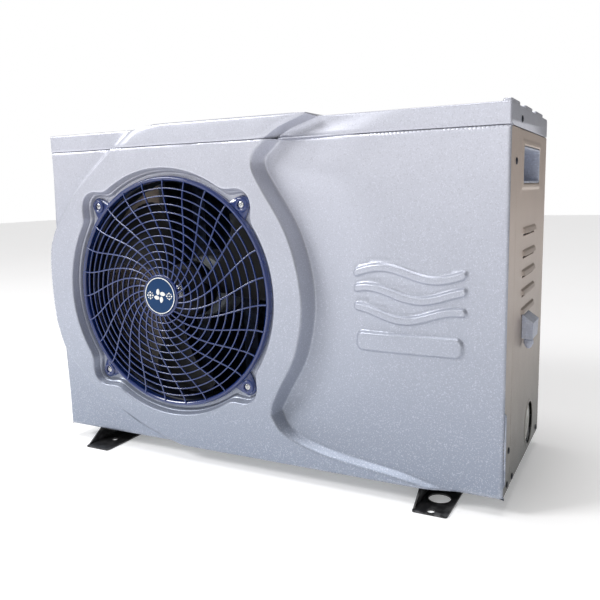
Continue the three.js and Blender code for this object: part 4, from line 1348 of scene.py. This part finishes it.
def fan():
    centre = (FAN[0], 0, FAN[1])
    parts = Parts()
    hub = fillet([(6.4, 30), (10, 27.4), (36, 28.6), (42.5, 33), (44, 38), (44, 61), (42.6, 62.6),
                  (6.4, 62.6)], 2.0, 4)
    parts.add(*revolve(hub, "Y", centre, 96))
    across, out = 22, 22
    for blade in range(3):
        verts = []
        for face in (0, 1):
            for i in range(out + 1):
                t = i / out
                r = 40 + (165.5 - 40) * t
                span = 0.55 + 0.42 * t ** 0.8
                lean = 0.22 * t ** 1.6
                for j in range(across + 1):
                    s = j / across - 0.5
                    round_off = 1.0 - 0.10 * (2 * abs(s)) ** 6 * smoothstep(t, 0.75, 1.0)
                    rr = 40 + (r - 40) * round_off
                    a = 0.2 + blade * 2 * math.pi / 3 + s * span + lean
                    camber = 4.5 * (1 - (2 * s) ** 2)
                    y = 45 - s * (32 + 2 * t) - camber + (0.5 - face) * (2.6 * (1 - 0.72 * abs(2 * s) ** 3))
                    verts.append((FAN[0] + rr * math.cos(a), y, FAN[1] + rr * math.sin(a)))
        row_len = across + 1
        sheet = (out + 1) * row_len
        faces = []
        for i in range(out):
            for j in range(across):
                k = i * row_len + j
                faces.append((k, k + 1, k + row_len + 1, k + row_len))
                faces.append((k + sheet, k + sheet + row_len, k + sheet + row_len + 1, k + sheet + 1))
        rim = ([j for j in range(row_len)] + [i * row_len + across for i in range(1, out + 1)]
               + [out * row_len + j for j in range(across - 1, -1, -1)]
               + [i * row_len for i in range(out - 1, 0, -1)])
        for a, b in zip(rim, rim[1:] + rim[:1]):
            faces.append((a, b, b + sheet, a + sheet))
        parts.add(verts, faces)
    parts.piece("fan_wheel", "black_plastic", nodes="fan_blade", body="fan", sharp=45)
    shaft = fillet([(0, 17), (5.2, 17), (6, 17.8), (6, 88), (0, 88)], 0.4, 2)
    Parts().add(*revolve(shaft, "Y", centre, 48)).piece("fan_spindle", "screw_steel", nodes="fan_shaft",
                                                        body="fan")
    nut = Parts()
    hexagon = [(11 * math.cos(math.pi / 3 * k), 11 * math.sin(math.pi / 3 * k)) for k in range(6)]
    outline = [(FAN[0] + x, FAN[1] + z) for x, z in hexagon]
    nut.add(*plate(outline, [circle(FAN[0], FAN[1], 6.4, 32)], lambda x, z, y: (x, y, z), 17.6, 25.5))
    bevel(nut.piece("fan_lock_nut", "screw_steel", nodes="fan_nut", body="fan", sharp=35), 0.7, 3)


SHROUD_RIGHT = 468.6


def shroud():
    hole = circle(FAN[0], FAN[1], 178.0, 144)
    outline = [(4, 3), (SHROUD_RIGHT, 3), (SHROUD_RIGHT, 458), (4, 458)]
    parts = Parts().add(*plate(outline, [hole], lambda x, z, y: (x, y, z), 20, 21.2))
    bell = [(178.4, 20.0), (176.4, 20.8), (175.0, 22.6), (174.4, 25.5), (174.2, 30), (174.2, 50.5),
            (174.9, 51.8),
            (175.9, 51.0), (175.8, 30), (176.1, 26), (177.0, 23.4), (178.6, 22.0)]
    parts.add(*revolve(bell, "Y", (FAN[0], 0, FAN[1]), 144))
    # the shroud takes the dark look as painted shade inside the cabinet
    bevel(parts.piece("air_shroud", "zinc_steel", nodes="fan_shroud", sharp=35, coat="dark_coat_and_shade"), 0.3, 2, 60)


def coil():
    """Thin fins on rows of straight tubes."""
    x0, x1, y0, y1, z0, z1 = 42.0, 448.0, 238.0, 274.0, 8.0, 452.0
    fins = Parts()
    pitch = 2.6
    count = int((x1 - x0 - 1) / pitch)
    for i in range(count + 1):
        x = x0 + 0.4 + i * pitch
        wave = [(y0, 0.0), (y0 + 6, 0.35), (y0 + 12, 0.0), (y0 + 18, 0.35), (y0 + 24, 0.0), (y0 + 30, 0.35),
                (y1, 0.0)]
        verts = [(x + d + t, y, z) for z in (z0, z1) for t in (0.0, 0.28) for y, d in wave]
        n = len(wave)
        faces = []
        for k in range(n - 1):
            faces.append((k, k + 1, 2 * n + k + 1, 2 * n + k))
            faces.append((n + k + 1, n + k, 3 * n + k, 3 * n + k + 1))
            faces.append((k + 1, k, n + k, n + k + 1))
            faces.append((2 * n + k, 2 * n + k + 1, 3 * n + k + 1, 3 * n + k))
        faces.append((0, 2 * n, 3 * n, n))
        faces.append((n - 1, 2 * n - 1, 4 * n - 1, 3 * n - 1))
        fins.add(verts, faces)
    # fins and tubes take the darkened coil look: painted shade inside the cabinet
    obj = fins.piece("coil_fins", "coil_aluminium", nodes="evaporator_coil", sharp=30, coat="shaded_coil_metal")
    pipes = Parts()
    rows = 14
    for i in range(rows):
        z = z0 + 16 + (z1 - z0 - 32) * i / (rows - 1)
        for y in (247.0, 265.0):
            pipes.add(*revolve([(0, x0 - 0.9), (3.4, x0 - 0.9), (3.4, x1 - 0.1), (0, x1 - 0.1)], "X",
                               (0, y, z), 14))
    pipes.piece("coil_tubes", "copper_tube", sharp=40, coat="shaded_coil_metal")
    return obj


def rear_grid():
    x0, x1, z0, z1 = 20.4, 465.6, 27.0, 461.0
    back = D - 0.3
    parts = Parts()
    frame_loop = [(x0 + 2.5, z0 + 2.5), (x1 - 2.5, z0 + 2.5), (x1 - 2.5, z1 - 2.5), (x0 + 2.5, z1 - 2.5)]
    path = []
    for k, (x, z) in enumerate(frame_loop):
        cx = x + (8 if k in (0, 3) else -8)
        cz = z + (8 if k in (0, 1) else -8)
        start = {0: 180, 1: 270, 2: 0, 3: 90}[k]
        for s in range(7):
            turn = math.radians(start + 90 * s / 6)
            path.append((cx + 8 * math.cos(turn), back - 2.6, cz + 8 * math.sin(turn)))
    parts.add(*sweep(path, circle(0, 0, 2.4, 12), Vector((0, 1, 0)), closed=True))
    wire = circle(0, 0, 1.0, 10)
    n = 22
    for i in range(1, n):
        x = x0 + (x1 - x0) * i / n
        parts.add(*sweep([(x, back - 3.0, z0 + 2), (x, back - 3.0, (z0 + z1) / 2), (x, back - 3.0, z1 - 2)],
                         wire,
                         Vector((0, 1, 0))))
    for i in range(1, 8):
        z = z0 + (z1 - z0) * i / 8
        parts.add(*sweep([(x0 + 2, back - 1.1, z), ((x0 + x1) / 2, back - 1.1, z), (x1 - 2, back - 1.1, z)],
                         wire,
                         Vector((0, 1, 0))))
    parts.piece("rear_wire_guard", "black_steel", nodes="rear_guard", sharp=50)


fan()
shroud()
coil()
rear_grid()


# ---- pieces kept from the frame ------------------------------------------------------------------

# the motor bracket takes the dark look as painted shade inside the cabinet
SHOWN_AS = {"motor_bracket": "dark_coat_and_shade", "front_frame": "satin_steel_plain", "base_pan": "zinc_steel_plain",
            "coil_plate_left": "zinc_steel_plain", "coil_plate_right": "zinc_steel_plain",
            "bulkhead": "zinc_steel_plain", "control_box": "zinc_steel_plain",
            "control_box_lid": "zinc_steel_plain"}
SLOT_OF = {part["node"]: part["material_slot"] for part in frame["record"]["subparts"]}
for node, cad in frame["nodes"].items():
    cad.data.materials.clear()
    cad.data.materials.append(LOOKS[SHOWN_AS.get(node, SLOT_OF[node])])
    cad.data.shade_smooth()
    cad.data.set_sharp_from_angle(angle=math.radians(36))
    if node not in REPLACED:
        bevel(cad, 0.45, 2, 40)


# ---- stage, light and camera ---------------------------------------------------------------------

def stage():
    mesh = bpy.data.meshes.new("floor")
    mesh.from_pydata([(-9, -9, 0), (9, -9, 0), (9, 9, 0), (-9, 9, 0)], [], [(0, 1, 2, 3)])
    mesh.materials.append(LOOKS["floor_paint"])
    floor = bpy.data.objects.new("floor", mesh)
    bpy.context.scene.collection.objects.link(floor)


def area_light(name, place, target, size, power, colour=(1, 1, 1)):
    light = bpy.data.lights.new(name, "AREA")
    light.shape = "RECTANGLE"
    light.size, light.size_y = size
    light.energy = power
    light.color = colour
    obj = bpy.data.objects.new(name, light)
    bpy.context.scene.collection.objects.link(obj)
    obj.location = place
    obj.rotation_euler = (Vector(target) - Vector(place)).to_track_quat("-Z", "Y").to_euler()


def lights():
    world = bpy.data.worlds.new("studio")
    bpy.context.scene.world = world
    world.use_nodes = True
    nodes, links = world.node_tree.nodes, world.node_tree.links
    background = nodes["Background"]
    background.inputs["Strength"].default_value = 0.32
    heading = nodes.new("ShaderNodeSeparateXYZ")
    links.new(nodes.new("ShaderNodeTexCoord").outputs["Generated"], heading.inputs[0])
    across = nodes.new("ShaderNodeMapRange")
    across.inputs["From Min"].default_value = -0.5
    across.inputs["From Max"].default_value = 0.9
    links.new(heading.outputs["X"], across.inputs["Value"])
    tint = nodes.new("ShaderNodeMix")
    tint.data_type = "RGBA"
    tint.inputs["A"].default_value = (1.0, 0.99, 0.98, 1.0)
    tint.inputs["B"].default_value = (0.36, 0.34, 0.32, 1.0)
    links.new(across.outputs["Result"], tint.inputs["Factor"])
    links.new(tint.outputs["Result"], background.inputs["Color"])
    backdrop = nodes.new("ShaderNodeBackground")
    backdrop.inputs["Color"].default_value = (1.0, 1.0, 1.0, 1.0)
    backdrop.inputs["Strength"].default_value = 1.0
    seen = nodes.new("ShaderNodeLightPath").outputs["Is Camera Ray"]
    choose = nodes.new("ShaderNodeMixShader")
    links.new(seen, choose.inputs[0])
    links.new(background.outputs[0], choose.inputs[1])
    links.new(backdrop.outputs[0], choose.inputs[2])
    links.new(choose.outputs[0], nodes["World Output"].inputs["Surface"])
    area_light("key", (-1.9, -1.7, 1.9), (0, 0, 0.25), (1.0, 0.8), 58)
    area_light("front_fill", (0.2, -2.8, 1.1), (0, 0, 0.25), (1.8, 1.2), 10)
    overhead = bpy.data.lights.new("overhead", "SUN")
    overhead.energy = 1.25
    overhead.angle = math.radians(30)
    lamp = bpy.data.objects.new("overhead", overhead)
    lamp.rotation_euler = (math.radians(4), math.radians(-6), 0)
    bpy.context.scene.collection.objects.link(lamp)
    bpy.context.scene.view_settings.view_transform = "Standard"


def camera():
    rx, ry, rz = 0.1588, 0.4799, -0.0238
    turn = (Matrix.Rotation(rz, 3, "Z") @ Matrix.Rotation(rx, 3, "X") @ Matrix.Rotation(ry, 3, "Y"))
    to_camera = turn @ Matrix(((1, 0, 0), (0, 0, -1), (0, 1, 0)))
    facing = to_camera.transposed() @ Matrix(((1, 0, 0), (0, -1, 0), (0, 0, -1)))
    data = bpy.data.cameras.new("view")
    data.lens = 41.02
    data.sensor_width = 36.0
    data.clip_end = 60
    obj = bpy.data.objects.new("view", data)
    bpy.context.scene.collection.objects.link(obj)
    obj.matrix_world = Matrix.Translation(row(890.367, -834.930, 392.855)) @ facing.to_4x4()
    bpy.context.scene.camera = obj


stage()
lights()
camera()
